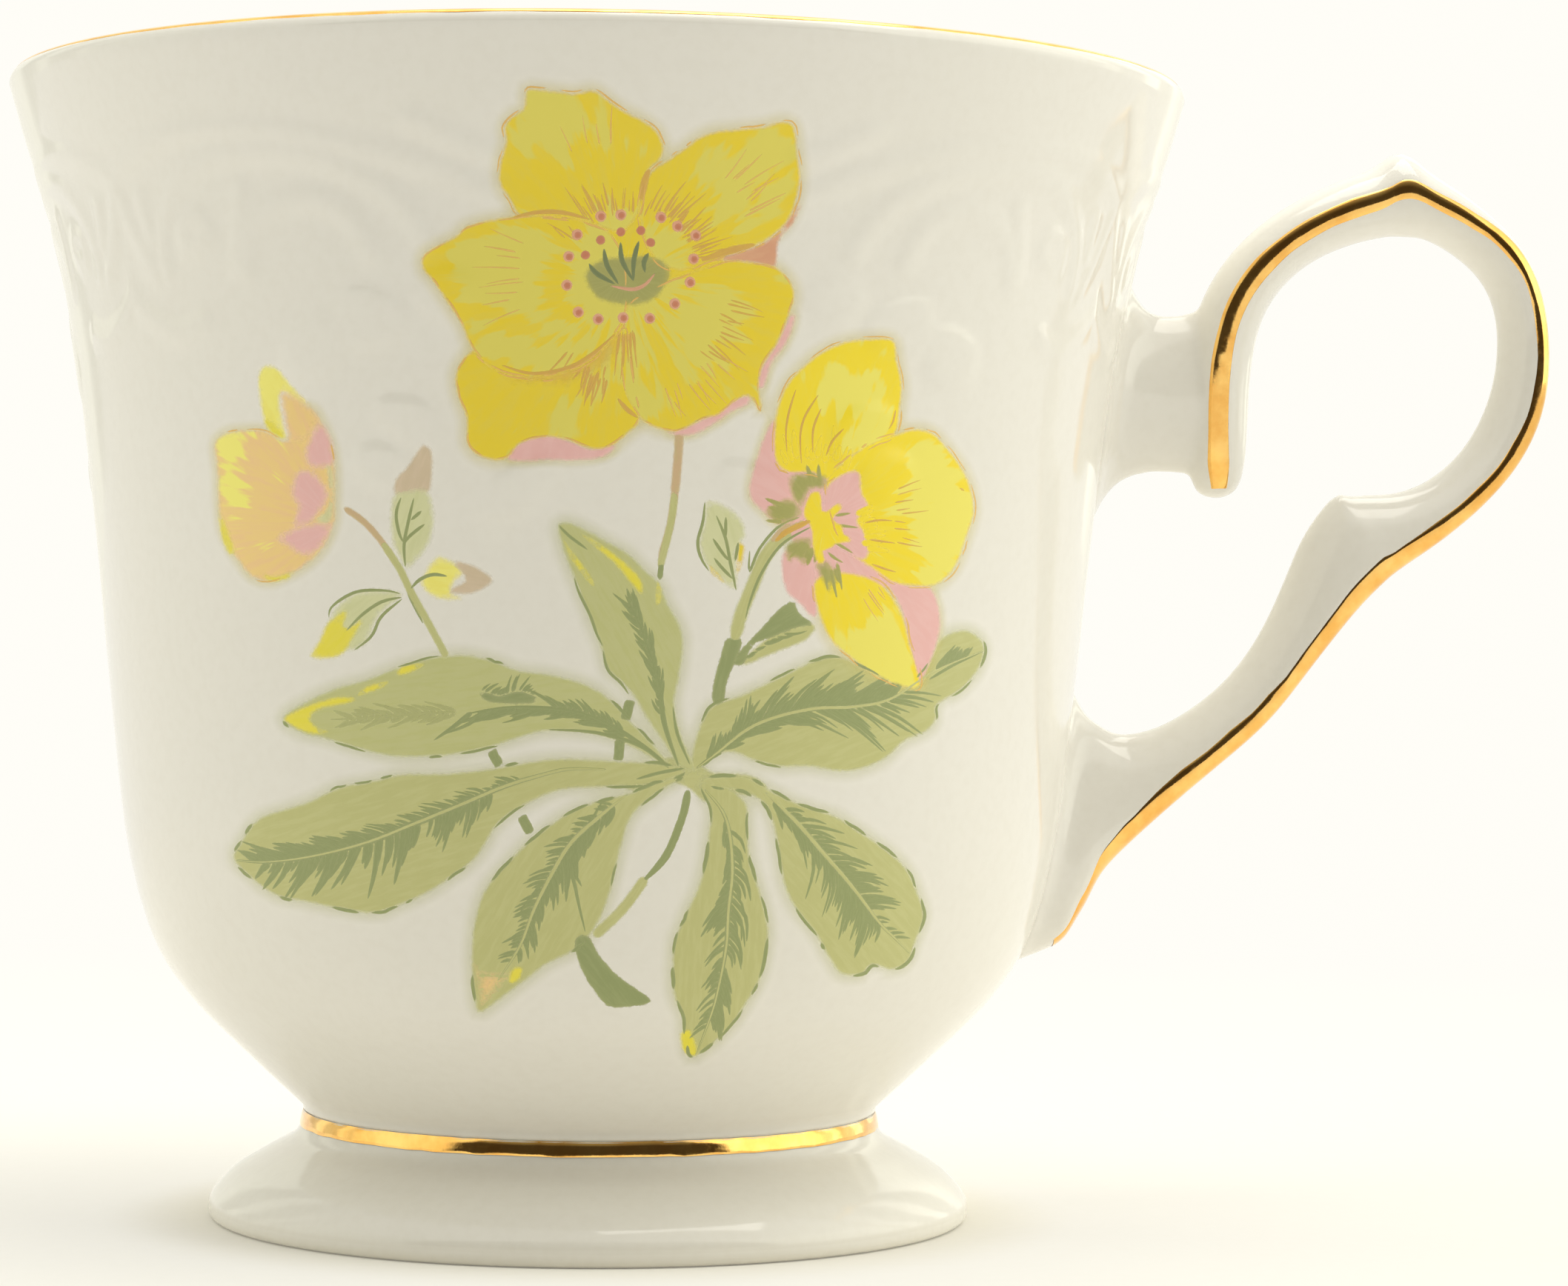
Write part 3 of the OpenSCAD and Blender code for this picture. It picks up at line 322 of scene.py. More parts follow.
        (4.4, 41.8), (5.1, 40.6), (5.4, 39.4), (5.2, 37.5), (4.9, 35.6), (5.3, 33.8), (6.2, 31.6),
        (5.2, 31.9), (4.3, 33.2), (3.3, 34.6), (2.4, 36.1), (1.6, 37), (0.8, 37.7), (0.3, 39.3),
        (-0.4, 41), (-1.2, 43), (-2, 45)],
    "lf_u_rib": [(1.8, 42.3), (2.6, 40.7), (3.4, 38.7), (3.9, 36.9), (4.3, 34.4), (5.2, 31.8)],
    "lf_u_rib2": [(4.8, 35.5), (5.1, 33.8), (5.9, 31.9)],
    "lf_u_y1": [(-2, 45.7), (-1.5, 45.1), (-0.6, 44), (0, 43), (-0.2, 42.7), (-1, 43.6), (-1.7, 44.6)],
    "lf_u_y2": [(-1, 46), (0.2, 45.5), (1.5, 44.6), (2.7, 43.5), (3, 42.6), (2.8, 42.2), (2, 43),
        (1.1, 44.1), (0, 45)],
    "lf_u_y3": [(3.7, 43.1), (4, 42.9), (4.1, 42.2), (3.9, 41.6), (3.6, 41.8)],
    "lf_u_out": [(-1.3, 43.3), (-1, 42.4), (-0.3, 41), (0.1, 39.9), (0.5, 39.1)],
    "lf_u_out2": [(0.5, 38.9), (0.8, 37.7), (1.6, 36.9), (2.1, 36.2)],
    "lf_u_tip": [(-2.3, 46.5), (-1.6, 45.8), (-0.5, 45)],
    "bud3": [(6.6, 48), (7.2, 48.1), (8.1, 47.7), (8.9, 47), (9.2, 46.1), (8.7, 44.9), (8.7, 43.4),
        (8.6, 42.6), (7.7, 43.1), (6.9, 43.8), (6.4, 44.6), (6.2, 45.6), (6.5, 46.8)],
    "bud3_y": [(6.9, 44.2), (7.5, 43.8), (8, 43.1), (7.6, 43.1), (7, 43.6)],
    "bud3_y2": [(8.6, 45.6), (9.2, 45.4), (9, 44.1), (8.6, 43.4), (8.5, 44.2)],
    "bud3_v0": [(6.6, 48), (6.5, 46.8), (6.2, 45.6), (6.4, 44.6), (6.9, 43.8)],
    "bud3_v1": [(7.3, 47.2), (7.9, 45.8), (8.2, 44.4), (8.6, 42.6)],
    "bud3_v2": [(7.9, 47.1), (7.9, 45.8)],
    "bud3_v3": [(7.1, 45.8), (7.8, 44.8), (8.2, 44.4)],
    "bud3_v4": [(7.2, 44.6), (7.7, 44), (8.4, 43.3)],
    "bud3_v5": [(8.7, 45.6), (8.5, 44.4)],
    "stem_side": [(13.2, 47), (11.8, 46.3), (10.4, 44.8), (9.6, 42.9), (8.9, 41.1), (8.5, 39.5)],
    "stem_side_o1": [(12.5, 47.2), (11.2, 46.6), (10, 45.2), (9.4, 43.8), (9.4, 45.1)],
    "stem_side_o2": [(13.2, 46.6), (11.4, 45.5), (10.2, 43.8), (9.5, 42.1), (9.2, 40.9)],
    "stem_main": [(4.8, 48.7), (4.7, 47.9), (4.5, 46.5), (4.1, 45), (3.9, 43.9)],
    "stem_main_dark": [(4, 44.3), (3.9, 43.2)],
    "s_stem_brown": [(10.9, 45.6), (11.7, 46.3), (13.2, 47)],
}


# ---------------------------------------------------------------- curves
def curve(points, steps):
    """A smooth curve through the points, with that many steps from each to the next."""
    p = np.array(points, float)
    made = []
    for i in range(len(p) - 1):
        a, b, c, d = p[max(i - 1, 0)], p[i], p[i + 1], p[min(i + 2, len(p) - 1)]
        for s in range(steps):
            t = s / steps
            made.append(0.5 * (2 * b + (c - a) * t + (2 * a - 5 * b + 4 * c - d) * t * t
                               + (3 * b - a - 3 * c + d) * t ** 3))
    made.append(p[-1])
    return np.array(made)


def loop(points, steps):
    """The same curve, closed."""
    p = list(points)
    return curve([p[-1]] + p + [p[0], p[1]], steps)[steps:-steps - 1]


def evenly(path, gap, closed=False):
    """The path's points, about a gap apart."""
    p = np.vstack([path, path[:1]]) if closed else np.array(path)
    run = np.concatenate([[0], np.cumsum(np.linalg.norm(np.diff(p, axis=0), axis=1))])
    count = max(int(round(run[-1] / gap)), 3 if closed else 1)
    at = np.linspace(0, run[-1], count + 1)
    made = np.stack([np.interp(at, run, p[:, k]) for k in range(p.shape[1])], axis=1)
    return made[:-1] if closed else made


def arc(centre, radius, start, stop, count):
    a = np.radians(np.linspace(start, stop, count))
    return np.stack([centre[0] + radius * np.cos(a), centre[1] + radius * np.sin(a)], axis=1)


def leftwards(path):
    """The unit vector to the left of a flat path at each point."""
    along = np.gradient(path, axis=0)
    along /= np.linalg.norm(along, axis=1)[:, None]
    return np.stack([-along[:, 1], along[:, 0]], axis=1)


outer_fine = curve(OUTER, 30)


def wall_radius(h):
    return np.interp(h, outer_fine[:, 1], outer_fine[:, 0])


def joint_radius(h):
    """The wall's radius at a height, kept within the wall."""
    return float(wall_radius(min(max(h, 8), 76)))


def distance_to(path, x, y):
    """How far each (x, y) is from an open flat path."""
    least = np.full(np.shape(x), 1e9)
    for (ax, ay), (bx, by) in zip(path[:-1], path[1:]):
        ux, uy = bx - ax, by - ay
        t = np.clip(((x - ax) * ux + (y - ay) * uy) / (ux * ux + uy * uy + 1e-12), 0, 1)
        least = np.minimum(least, np.hypot(x - ax - t * ux, y - ay - t * uy))
    return least


def inside(path, x, y):
    """Which of the points lie inside a closed flat path."""
    x, y = np.asarray(x), np.asarray(y)
    within = np.zeros(x.shape, bool)
    for (ax, ay), (bx, by) in zip(path, np.roll(path, -1, axis=0)):
        crosses = (ay > y) != (by > y)
        within ^= crosses & (x < (bx - ax) * (y - ay) / (by - ay + 1e-12) + ax)
    return within


# ---------------------------------------------------------------- the moulded relief
RELIEF_SCALE = math.radians(1) * 35
RIDGE_H, RIDGE_W = 0.13, 1.2
MOUND_H = 0.12
relief_lines = [curve([(a * RELIEF_SCALE, h) for a, h in line], 4) for line in RELIEF_LINES]
relief_mounds = [loop([(a * RELIEF_SCALE, h) for a, h in line], 5) for line in RELIEF_MOUNDS]


def relief(degrees, h):
    """How far the wall stands proud at each angle from the front and height, in mm."""
    x = np.abs((np.asarray(degrees) - RELIEF_AXIS + 60) % 120 - 60) * RELIEF_SCALE
    h = np.asarray(h, float)
    rise = np.zeros(np.broadcast(x, h).shape)
    for line in relief_lines:
        d = np.clip(distance_to(line, x, h) / RIDGE_W, 0, 1)
        rise = np.maximum(rise, RIDGE_H * (1 - d * d) ** 2)
    for line in relief_mounds:
        d = np.where(inside(line, x, h), 0, distance_to(np.vstack([line, line[:1]]), x, h))
        d = np.clip(d / RIDGE_W, 0, 1)
        rise = np.maximum(rise, MOUND_H * (1 - d * d) ** 2)
    return rise


# ---------------------------------------------------------------- nodes and materials
def node(tree, kind, sockets=None, **settings):
    """A shader node. sockets gives each input a constant or another node's output."""
    made = tree.nodes.new("ShaderNode" + kind)
    for name, value in settings.items():
        setattr(made, name, value)
    for name, value in (sockets or {}).items():
        if isinstance(value, bpy.types.NodeSocket):
            tree.links.new(value, made.inputs[name])
        else:
            made.inputs[name].default_value = value
    return made


def linear(*shade):
    """A colour as seen, each part from 0 to 255, as linear light."""
    return [((c / 255 + 0.055) / 1.055) ** 2.4 if c > 10 else c / 255 / 12.92 for c in shade]


GLAZE = linear(236, 233, 225)
LIT_GLAZE = linear(217, 211, 190)


def enamel(*shade):
    """The enamel's own colour, from its colour as seen where bare glaze shows as LIT_GLAZE."""
    return [min(c / g * own, 0.92) for c, g, own in zip(linear(*shade), LIT_GLAZE, GLAZE)] + [1]


def blend(tree, factor, a, b, kind="MIX"):
    mix = node(tree, "Mix", {0: factor, 6: a, 7: b}, data_type="RGBA", blend_type=kind)
    return mix.outputs[2]


def noise(tree, vector, scale, detail=2.0, roughness=0.5):
    return node(tree, "TexNoise", {"Vector": vector, "Scale": scale, "Detail": detail,
                                   "Roughness": roughness}).outputs[0]


def between(tree, value, low, high, to_low=0.0, to_high=1.0):
    made = node(tree, "MapRange", {"Value": value, "From Min": low, "From Max": high,
                                   "To Min": to_low, "To Max": to_high},
                interpolation_type="SMOOTHSTEP")
    return made.outputs[0]


def math_of(tree, operation, *values):
    return node(tree, "Math", dict(enumerate(values)), operation=operation).outputs[0]


def fresh(name):
    material = bpy.data.materials.new(name)
    material.use_nodes = True
    tree = material.node_tree
    tree.nodes.clear()
    return material, tree


def finish_material(tree, surface):
    out = node(tree, "OutputMaterial")
    tree.links.new(surface.outputs[0], out.inputs["Surface"])


def porcelain():
    """Warm white glaze: slow changes of tint, a faint ripple, and a few dark specks."""
    material, tree = fresh("porcelain_glaze")
    at = node(tree, "TexCoord").outputs["Object"]
    slow = noise(tree, at, 45, 3)
    fine = noise(tree, at, 1400, 2)
    body = blend(tree, slow, GLAZE + [1], linear(232, 229, 219) + [1])
    body = blend(tree, between(tree, fine, 0.35, 0.75, 0, 0.25), body, linear(227, 223, 212) + [1])
    cells = node(tree, "TexVoronoi", {"Vector": at, "Scale": 260.0})
    chosen = node(tree, "SeparateColor", {0: cells.outputs["Color"]}).outputs[0]
    chosen = between(tree, chosen, 0.955, 0.965)
    dot = between(tree, cells.outputs["Distance"], 0.012, 0.032, 1, 0)
    speck = math_of(tree, "MULTIPLY", chosen, dot)
    body = blend(tree, speck, body, linear(120, 104, 76) + [1])
    ripple = node(tree, "Bump", {"Height": noise(tree, at, 120, 2), "Strength": 0.10, "Distance": 0.0004})
    ripple = node(tree, "Bump", {"Height": noise(tree, at, 900, 2), "Strength": 0.05, "Distance": 0.0001,
                                 "Normal": ripple.outputs[0]})
    rough = between(tree, noise(tree, at, 200, 3), 0.3, 0.7, 0.07, 0.12)
    finish_material(tree, node(tree, "BsdfPrincipled", {
        "Base Color": body, "Roughness": rough, "IOR": 1.52, "Normal": ripple.outputs[0]}))
    return material


def gilt():
    """Burnished gold laid by brush: uneven tint, fine brush marks and thin places."""
    material, tree = fresh("gilding")
    at = node(tree, "TexCoord").outputs["Object"]
    worn = noise(tree, at, 350, 4, 0.6)
    tint = blend(tree, between(tree, worn, 0.3, 0.7), linear(255, 208, 122) + [1], linear(240, 180, 92) + [1])
    marks = noise(tree, at, 2600, 3, 0.6)
    rough = between(tree, marks, 0.25, 0.75, 0.05, 0.14)
    bump = node(tree, "Bump", {"Height": marks, "Strength": 0.06, "Distance": 0.00005})
    finish_material(tree, node(tree, "BsdfPrincipled", {
        "Base Color": tint, "Metallic": 1.0, "Roughness": rough, "Normal": bump.outputs[0]}))
    return material


def painted(name, main, streak, halo, strength=0.6, edge=(0.05, 0.85), light=None, strongest=1.0,
            rough=0.5):
    """Fired enamel: streaks along the brush's way, a thinner rim, and a soft uneven edge. The edge
    fades in over this span of cover, rough says how uneven that is, strongest is the most it hides,
    and light is the colour where the tone is high."""
    material, tree = fresh(name)
    at = node(tree, "TexCoord").outputs["Object"]
    way = node(tree, "Attribute", attribute_name="way").outputs["Vector"]
    cover = node(tree, "Attribute", attribute_name="cover").outputs["Fac"]
    streaks = noise(tree, way, 2.0, 3, 0.6)
    mottle = noise(tree, at, 900, 3, 0.6)
    colour = blend(tree, between(tree, streaks, 0.42, 0.66, 0, strength), main, streak)
    colour = blend(tree, between(tree, mottle, 0.3, 0.75, 0, 0.22), colour, streak)
    if light:
        tone = node(tree, "Attribute", attribute_name="tone").outputs["Fac"]
        pull = math_of(tree, "ADD", noise(tree, way, 1.6, 2, 0.5), -0.5)
        pull = math_of(tree, "MULTIPLY_ADD", pull, 2.3, tone)
        colour = blend(tree, between(tree, pull, 0.34, 0.62), colour, light)
    colour = blend(tree, between(tree, cover, 0.3, 0.85, 0.45, 0), colour, halo)
    ragged = math_of(tree, "ADD", noise(tree, at, 3200, 3, 0.6), -0.5)
    ragged = math_of(tree, "MULTIPLY_ADD", ragged, rough, cover)
    alpha = between(tree, ragged, edge[0], edge[1], 0, strongest)
    bump = node(tree, "Bump", {"Height": mottle, "Strength": 0.15, "Distance": 0.00008})
    finish_material(tree, node(tree, "BsdfPrincipled", {
        "Base Color": colour, "Roughness": between(tree, mottle, 0.2, 0.8, 0.14, 0.26), "IOR": 1.5,
        "Alpha": alpha, "Normal": bump.outputs[0]}))
    return material


PORCELAIN = porcelain()
GOLD = gilt()
# Each paint: its main colour, its streaks and its rim as seen, then any other settings.
PAINTS = {
    "yellow": ((217, 190, 22), (213, 189, 50), (214, 176, 92), {"light": (208, 194, 76)}),
    "sun": ((226, 200, 20), (224, 201, 50), (222, 186, 100), {"light": (221, 208, 84)}),
    "lemon": ((216, 201, 60), (214, 200, 44), (210, 196, 84), {}),
    "pink": ((216, 166, 150), (219, 174, 158), (218, 180, 164), {}),
    "rust": ((200, 144, 104), (206, 156, 112), (210, 165, 140), {}),
    "peach": ((223, 190, 112), (222, 181, 122), (218, 180, 134), {"light": (227, 215, 100)}),
    "sage": ((176, 173, 106), (184, 181, 116), (190, 187, 132), {}),
    "pale": ((180, 178, 114), (175, 174, 104), (190, 188, 138), {}),
    "moss": ((160, 160, 98), (168, 167, 104), (172, 171, 112), {}),
    "mist": ((198, 196, 142), (190, 189, 130), (200, 196, 146), {}),
    "citron": ((228, 216, 104), (222, 208, 88), (222, 208, 112), {}),
    "eye": ((152, 148, 76), (162, 157, 84), (186, 172, 72), {"strength": 0.6, "edge": (0.1, 0.9)}),
    "green": ((134, 141, 84), (144, 149, 92), (158, 158, 104), {"strength": 0.6, "edge": (0.2, 0.5)}),
    "deep": ((106, 114, 66), (116, 124, 74), (136, 140, 88), {"strength": 0.5, "edge": (0.2, 0.5)}),
    "brown": ((196, 152, 66), (203, 164, 58), (207, 174, 62), {"strength": 0.6, "edge": (0.2, 0.8)}),
    "outline": ((208, 162, 84), (212, 172, 72), (212, 176, 96), {"strength": 0.6, "edge": (0.2, 1.0)}),
    "shade": ((200, 160, 62), (206, 170, 52), (210, 180, 50),
              {"strength": 0.8, "edge": (0.1, 1.3), "strongest": 0.75}),
    "blush": ((206, 146, 110), (210, 154, 120), (214, 164, 130), {}),
    "dot": ((184, 112, 74), (190, 120, 84), (196, 134, 96), {"strength": 0.6, "edge": (0.0, 0.5)}),
    "dust": ((192, 172, 134), (199, 178, 143), (203, 188, 156), {}),
    "stalk": ((190, 160, 114), (184, 166, 110), (196, 176, 132), {}),
    "gold glow": ((190, 175, 88), (190, 175, 88), (196, 182, 104),
                  {"strength": 0, "edge": (0, 1), "strongest": 0.5, "rough": 0}),
    "green glow": ((172, 171, 110), (172, 171, 110), (178, 177, 122),
                   {"strength": 0, "edge": (0, 1), "strongest": 0.45, "rough": 0}),
}
PAINT = {}
for key, (main, streak, halo, settings) in PAINTS.items():
    if "light" in settings:
        settings["light"] = enamel(*settings["light"])
    shades = [enamel(*shade) for shade in (main, streak, halo)]
    PAINT[key] = painted("enamel_" + key.replace(" ", "_"), *shades, **settings)


# ---------------------------------------------------------------- meshes
def build(name, verts, faces, materials, slots=None, attributes=None):
    """A smooth-shaded mesh from points in mm."""
    mesh = bpy.data.meshes.new(name)
    points = [tuple(float(c) * MM for c in v) for v in verts]
    mesh.from_pydata(points, [], [tuple(map(int, f)) for f in faces])
    for m in materials:
        mesh.materials.append(m)
    if slots is not None:
        mesh.polygons.foreach_set("material_index", slots)
    for key, values in (attributes or {}).items():
        values = np.array(values, np.float32)
        kind = "FLOAT" if values.ndim == 1 else "FLOAT_VECTOR"
        mesh.attributes.new(key, kind, "POINT").data.foreach_set(
            "value" if values.ndim == 1 else "vector", values.ravel())
    mesh.polygons.foreach_set("use_smooth", [True] * len(mesh.polygons))
    mesh.update()
    made = bpy.data.objects.new(name, mesh)
    bpy.context.scene.collection.objects.link(made)
    return made


def hand_over(made, finish, *nodes):
    """The piece rides the cup's one body and stands for these CAD nodes."""
    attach(made, "root")
    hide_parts(*nodes)


def revolve(rows, sides, bend=None):
    """A turned shape from rows of (radius, height), from the middle underneath to the middle
    above. bend gives how far each point of a row is moved outwards."""
    a = np.linspace(0, 2 * math.pi, sides, endpoint=False)
    verts, faces = [], []
    for k, (r, h) in enumerate(rows):
        out = r + (bend(k, np.degrees(a), h) if bend else 0)
        verts += list(zip(out * np.sin(a), -out * np.cos(a), np.full(sides, h)))
    for k in range(len(rows) - 1):
        for j in range(sides):
            n = (j + 1) % sides
            faces.append((k * sides + j, k * sides + n, (k + 1) * sides + n, (k + 1) * sides + j))
    return verts, faces


# ---------------------------------------------------------------- bowl and foot
BOWL_SIDES = 640
FOOT_SIDES = 480
RELIEF_LOW, RELIEF_HIGH = 46.4, 71.4
wall_heights = np.concatenate([
    np.linspace(7.7, 12, 8)[:-1], np.linspace(12, 20, 10)[:-1], np.linspace(20, RELIEF_LOW, 13)[:-1],
    np.linspace(RELIEF_LOW, RELIEF_HIGH, 72)[:-1], np.linspace(RELIEF_HIGH, 76.3, 8)])
outer_rows = [(float(wall_radius(h)), float(h)) for h in wall_heights]
fine_t = np.linspace(0, 1, len(outer_fine))
inner_fine = outer_fine + leftwards(outer_fine) * (BASE_T + (LIP_T - BASE_T) * fine_t)[:, None]
inner_fine = inner_fine[inner_fine[:, 0] > 17]
inner_rows = evenly(inner_fine, 3.4)[::-1]
floor_low = inner_fine[0]
lip_rows = arc((LIP_CENTRE, LIP_H), LIP_R, 8, 172, 12)
floor_rows = curve([inner_rows[-1], (floor_low[0] - 3, floor_low[1] - 0.5), (8, floor_low[1] - 0.62),
                    (0.01, floor_low[1] - 0.62)], 4)[1:]
bowl_rows = ([(0.01, JOINT_H), (9, JOINT_H), (16, JOINT_H), (WAIST_R - 0.05, JOINT_H), (WAIST_R, 7.5)]
             + outer_rows + [tuple(p) for p in lip_rows[:-1]]
             + [tuple(p) for p in inner_rows] + [tuple(p) for p in floor_rows])
first_wall = 5
last_wall = first_wall + len(outer_rows)


def wall_bend(k, degrees, h):
    """How far the relief lifts a row of the bowl's outside."""
    if first_wall <= k < last_wall and RELIEF_LOW <= h <= RELIEF_HIGH + 0.1:
        fade = min(1, (h - RELIEF_LOW) / 0.6, max(0, (RELIEF_HIGH - h) / 0.5))
        return relief(degrees, np.full(len(degrees), h)) * fade
    return np.zeros(len(degrees))


verts, faces = revolve(bowl_rows, BOWL_SIDES, wall_bend)
bowl = build("cup_bowl", verts, faces, [PORCELAIN])
hand_over(bowl, "porcelain", "bowl")
bowl_bvh = BVHTree.FromPolygons([Vector(v) for v in verts], faces)

foot_rows = np.vstack([
    [(16.4, JOINT_H - 0.02)], [(WAIST_R - 0.1, JOINT_H - 0.02)], [(WAIST_R, JOINT_H - 0.12)],
    curve(FOOT, 8), arc(TOE[:2], TOE[2], -5, -90, 9),
    [(24.3, 0)], curve(HOLLOW, 6)])
verts, faces = revolve([tuple(p) for p in foot_rows], FOOT_SIDES)
last_row = (len(foot_rows) - 1) * FOOT_SIDES
faces += [(last_row + j, last_row + (j + 1) % FOOT_SIDES, (j + 1) % FOOT_SIDES, j) for j in range(FOOT_SIDES)]
faces = [f[::-1] for f in faces]
foot = build("cup_foot", verts, faces, [PORCELAIN])
hand_over(foot, "porcelain", "pedestal_foot")


# ---------------------------------------------------------------- handle
RING = 48
FLARE_TO = 44
STRAP_STEPS = 8
SCROLL_FILLET, BRACKET_FILLET = 1.6, 1.8
BURIED = 0.7


def flare(p, reach):
    """How much wider the strap is at a point near the bowl, for the slip that joins them."""
    d = math.hypot(p[0], p[1]) - joint_radius(p[2])
    d = min(max(d, 0), reach)
    return reach - math.sqrt(max(reach * reach - (reach - d) ** 2, 0))


def section(s, a, extra=0.0):
    """A point round the strap's section at a station, pushed outwards by extra. A station is
    (outer x, outer height, inner x, inner height, half width, how far outwards its sides sit)."""
    out, inn = np.array([s[0], s[1]]), np.array([s[2], s[3]])
    half = np.linalg.norm(out - inn) / 2
    unit = (out - inn) / (2 * half)
    across = math.cos(a) + s[5] * math.sin(a) ** 2
    spot = (out + inn) / 2 + unit * across * half
    side = math.copysign(abs(math.sin(a)) ** 1.25, math.sin(a)) * s[4]
    base = np.array([spot[0], side, spot[1]])
    if extra:
        push = np.array([unit[0] * math.cos(a), math.sin(a), unit[1] * math.cos(a)])
        base = base + push * extra
    return base


def eased(rings, steps):
    """The scroll's stations with their small corners smoothed out, save at the crest and the step
    inside the lower curl."""
    at = np.arange(len(rings)) / steps
    keep = np.zeros(len(rings))
    for spot, reach in ((0, 2.2), (8, 1.0), (16.4, 1.3), (24, 1.2)):
        keep = np.maximum(keep, np.clip(1.6 - np.abs(at - spot) / reach, 0, 1))
    width = np.arange(-2 * steps, 2 * steps + 1)
    weight = np.exp(-(width / (0.75 * steps)) ** 2)
    index = np.clip(np.arange(len(rings))[:, None] + width, 0, len(rings) - 1)
    smoothed = (rings[index] * weight[None, :, None]).sum(axis=1) / weight.sum()
    return rings * keep[:, None] + smoothed * (1 - keep[:, None])


def strap(stations, fillet, scroll=False):
    """A strap through the stations. The scroll has its corners eased and flares on its inner side
    only, near the bowl."""
    rings = curve(stations, STRAP_STEPS)
    if scroll:
        rings = eased(rings, STRAP_STEPS)
    verts = []
    for s in rings:
        for i in range(RING):
            a = 2 * math.pi * i / RING
            p = section(s, a)
            inwards = (1 - math.cos(a)) / 2 if scroll else 1
            verts.append(section(s, a, flare(p, fillet) * inwards) if p[0] < FLARE_TO else p)
    n = len(rings)
    faces = [tuple(range(RING))[::-1], tuple((n - 1) * RING + i for i in range(RING))]
    faces += [(k * RING + i, k * RING + (i + 1) % RING, (k + 1) * RING + (i + 1) % RING, (k + 1) * RING + i)
              for k in range(n - 1) for i in range(RING)]
    return verts, faces


def joined(parts):
    """Several meshes' points and faces as one."""
    verts, faces = [], []
    for v, f in parts:
        faces += [tuple(len(verts) + i for i in face) for face in f]
        verts += list(v)
    return verts, faces


verts, faces = joined([strap(SCROLL, SCROLL_FILLET, True), strap(BRACKET, BRACKET_FILLET)])
raw = build("handle_raw", verts, faces, [PORCELAIN])
bm = bmesh.new()
bm.from_mesh(raw.data)
bmesh.ops.recalc_face_normals(bm, faces=bm.faces)
bm.to_mesh(raw.data)
bm.free()
VOXEL = 0.22
remesh = raw.modifiers.new("union", "REMESH")
remesh.mode = "VOXEL"
remesh.voxel_size = VOXEL * MM
remesh.use_smooth_shade = True
soften = raw.modifiers.new("soften", "SMOOTH")
soften.factor = 0.5
soften.iterations = 10
bpy.context.view_layer.update()
solid = bpy.data.meshes.new_from_object(raw.evaluated_get(bpy.context.evaluated_depsgraph_get()))
bpy.data.objects.remove(raw)

# What lies inside the bowl's wall is dropped, so that nothing shows through the inside.
bm = bmesh.new()
bm.from_mesh(solid)
buried = [v for v in bm.verts
          if math.hypot(v.co.x, v.co.y) / MM < joint_radius(v.co.z / MM) - BURIED]
bmesh.ops.delete(bm, geom=buried, context="VERTS")
bm.to_mesh(solid)
bm.free()
solid.name = "cup_handle"
solid.materials.clear()
solid.materials.append(PORCELAIN)
solid.polygons.foreach_set("use_smooth", [True] * len(solid.polygons))
handle = bpy.data.objects.new("cup_handle", solid)
bpy.context.scene.collection.objects.link(handle)
hand_over(handle, "porcelain", "handle", "upper_slip_joint", "lower_slip_joint")
handle_bvh = BVHTree.FromPolygons([v.co / MM for v in solid.vertices],
                                  [tuple(p.vertices) for p in solid.polygons])


# ---------------------------------------------------------------- gilding
GILT_PROUD = 0.035
GILT_SUNK = -0.06
GOLD_SIDES = 600
BLEND_BACK = 8


def wander(count, size, smoothness, seed):
    """A line's small uneven changes, as a painter's hand leaves them."""
    pick = random.Random(seed)
    rough = np.array([pick.uniform(-1, 1) for _ in range(max(count // smoothness, 4) + 1)])
    return np.interp(np.linspace(0, len(rough) - 1, count), range(len(rough)), rough) * size


def gold_ring(name, node_name, profile, seed, wobble):
    """A painted band round the cup. Its profile is (radius, height) points with their outward
    direction, and its two edges wander a little."""
    sides = GOLD_SIDES
    spots, out = profile
    n = len(spots)
    low, high = wander(sides, wobble, 5, seed), wander(sides, wobble, 5, seed + 1)
    for line in (low, high):
        line[-BLEND_BACK:] = np.linspace(line[-BLEND_BACK], line[0], BLEND_BACK)
    verts, faces = [], []
    run = np.concatenate([[0], np.cumsum(np.linalg.norm(np.diff(spots, axis=0), axis=1))])
    for j in range(sides):
        a = 2 * math.pi * j / sides
        at = np.linspace(max(low[j] + wobble, 0), run[-1] - max(high[j] + wobble, 0), n)
        for k in range(n):
            r, h = np.interp(at[k], run, spots[:, 0]), np.interp(at[k], run, spots[:, 1])
            u, v = np.interp(at[k], run, out[:, 0]), np.interp(at[k], run, out[:, 1])
            edge = min(k, n - 1 - k)
            lift = (GILT_SUNK, 0.01)[edge] if edge < 2 else GILT_PROUD
            verts.append(((r + u * lift) * math.sin(a), -(r + u * lift) * math.cos(a), h + v * lift))
    for j in range(sides):
        for k in range(n - 1):
            m = (j + 1) % sides
            faces.append((j * n + k, m * n + k, m * n + k + 1, j * n + k + 1))
    hand_over(build(name, verts, faces, [GOLD]), "gilding", node_name)


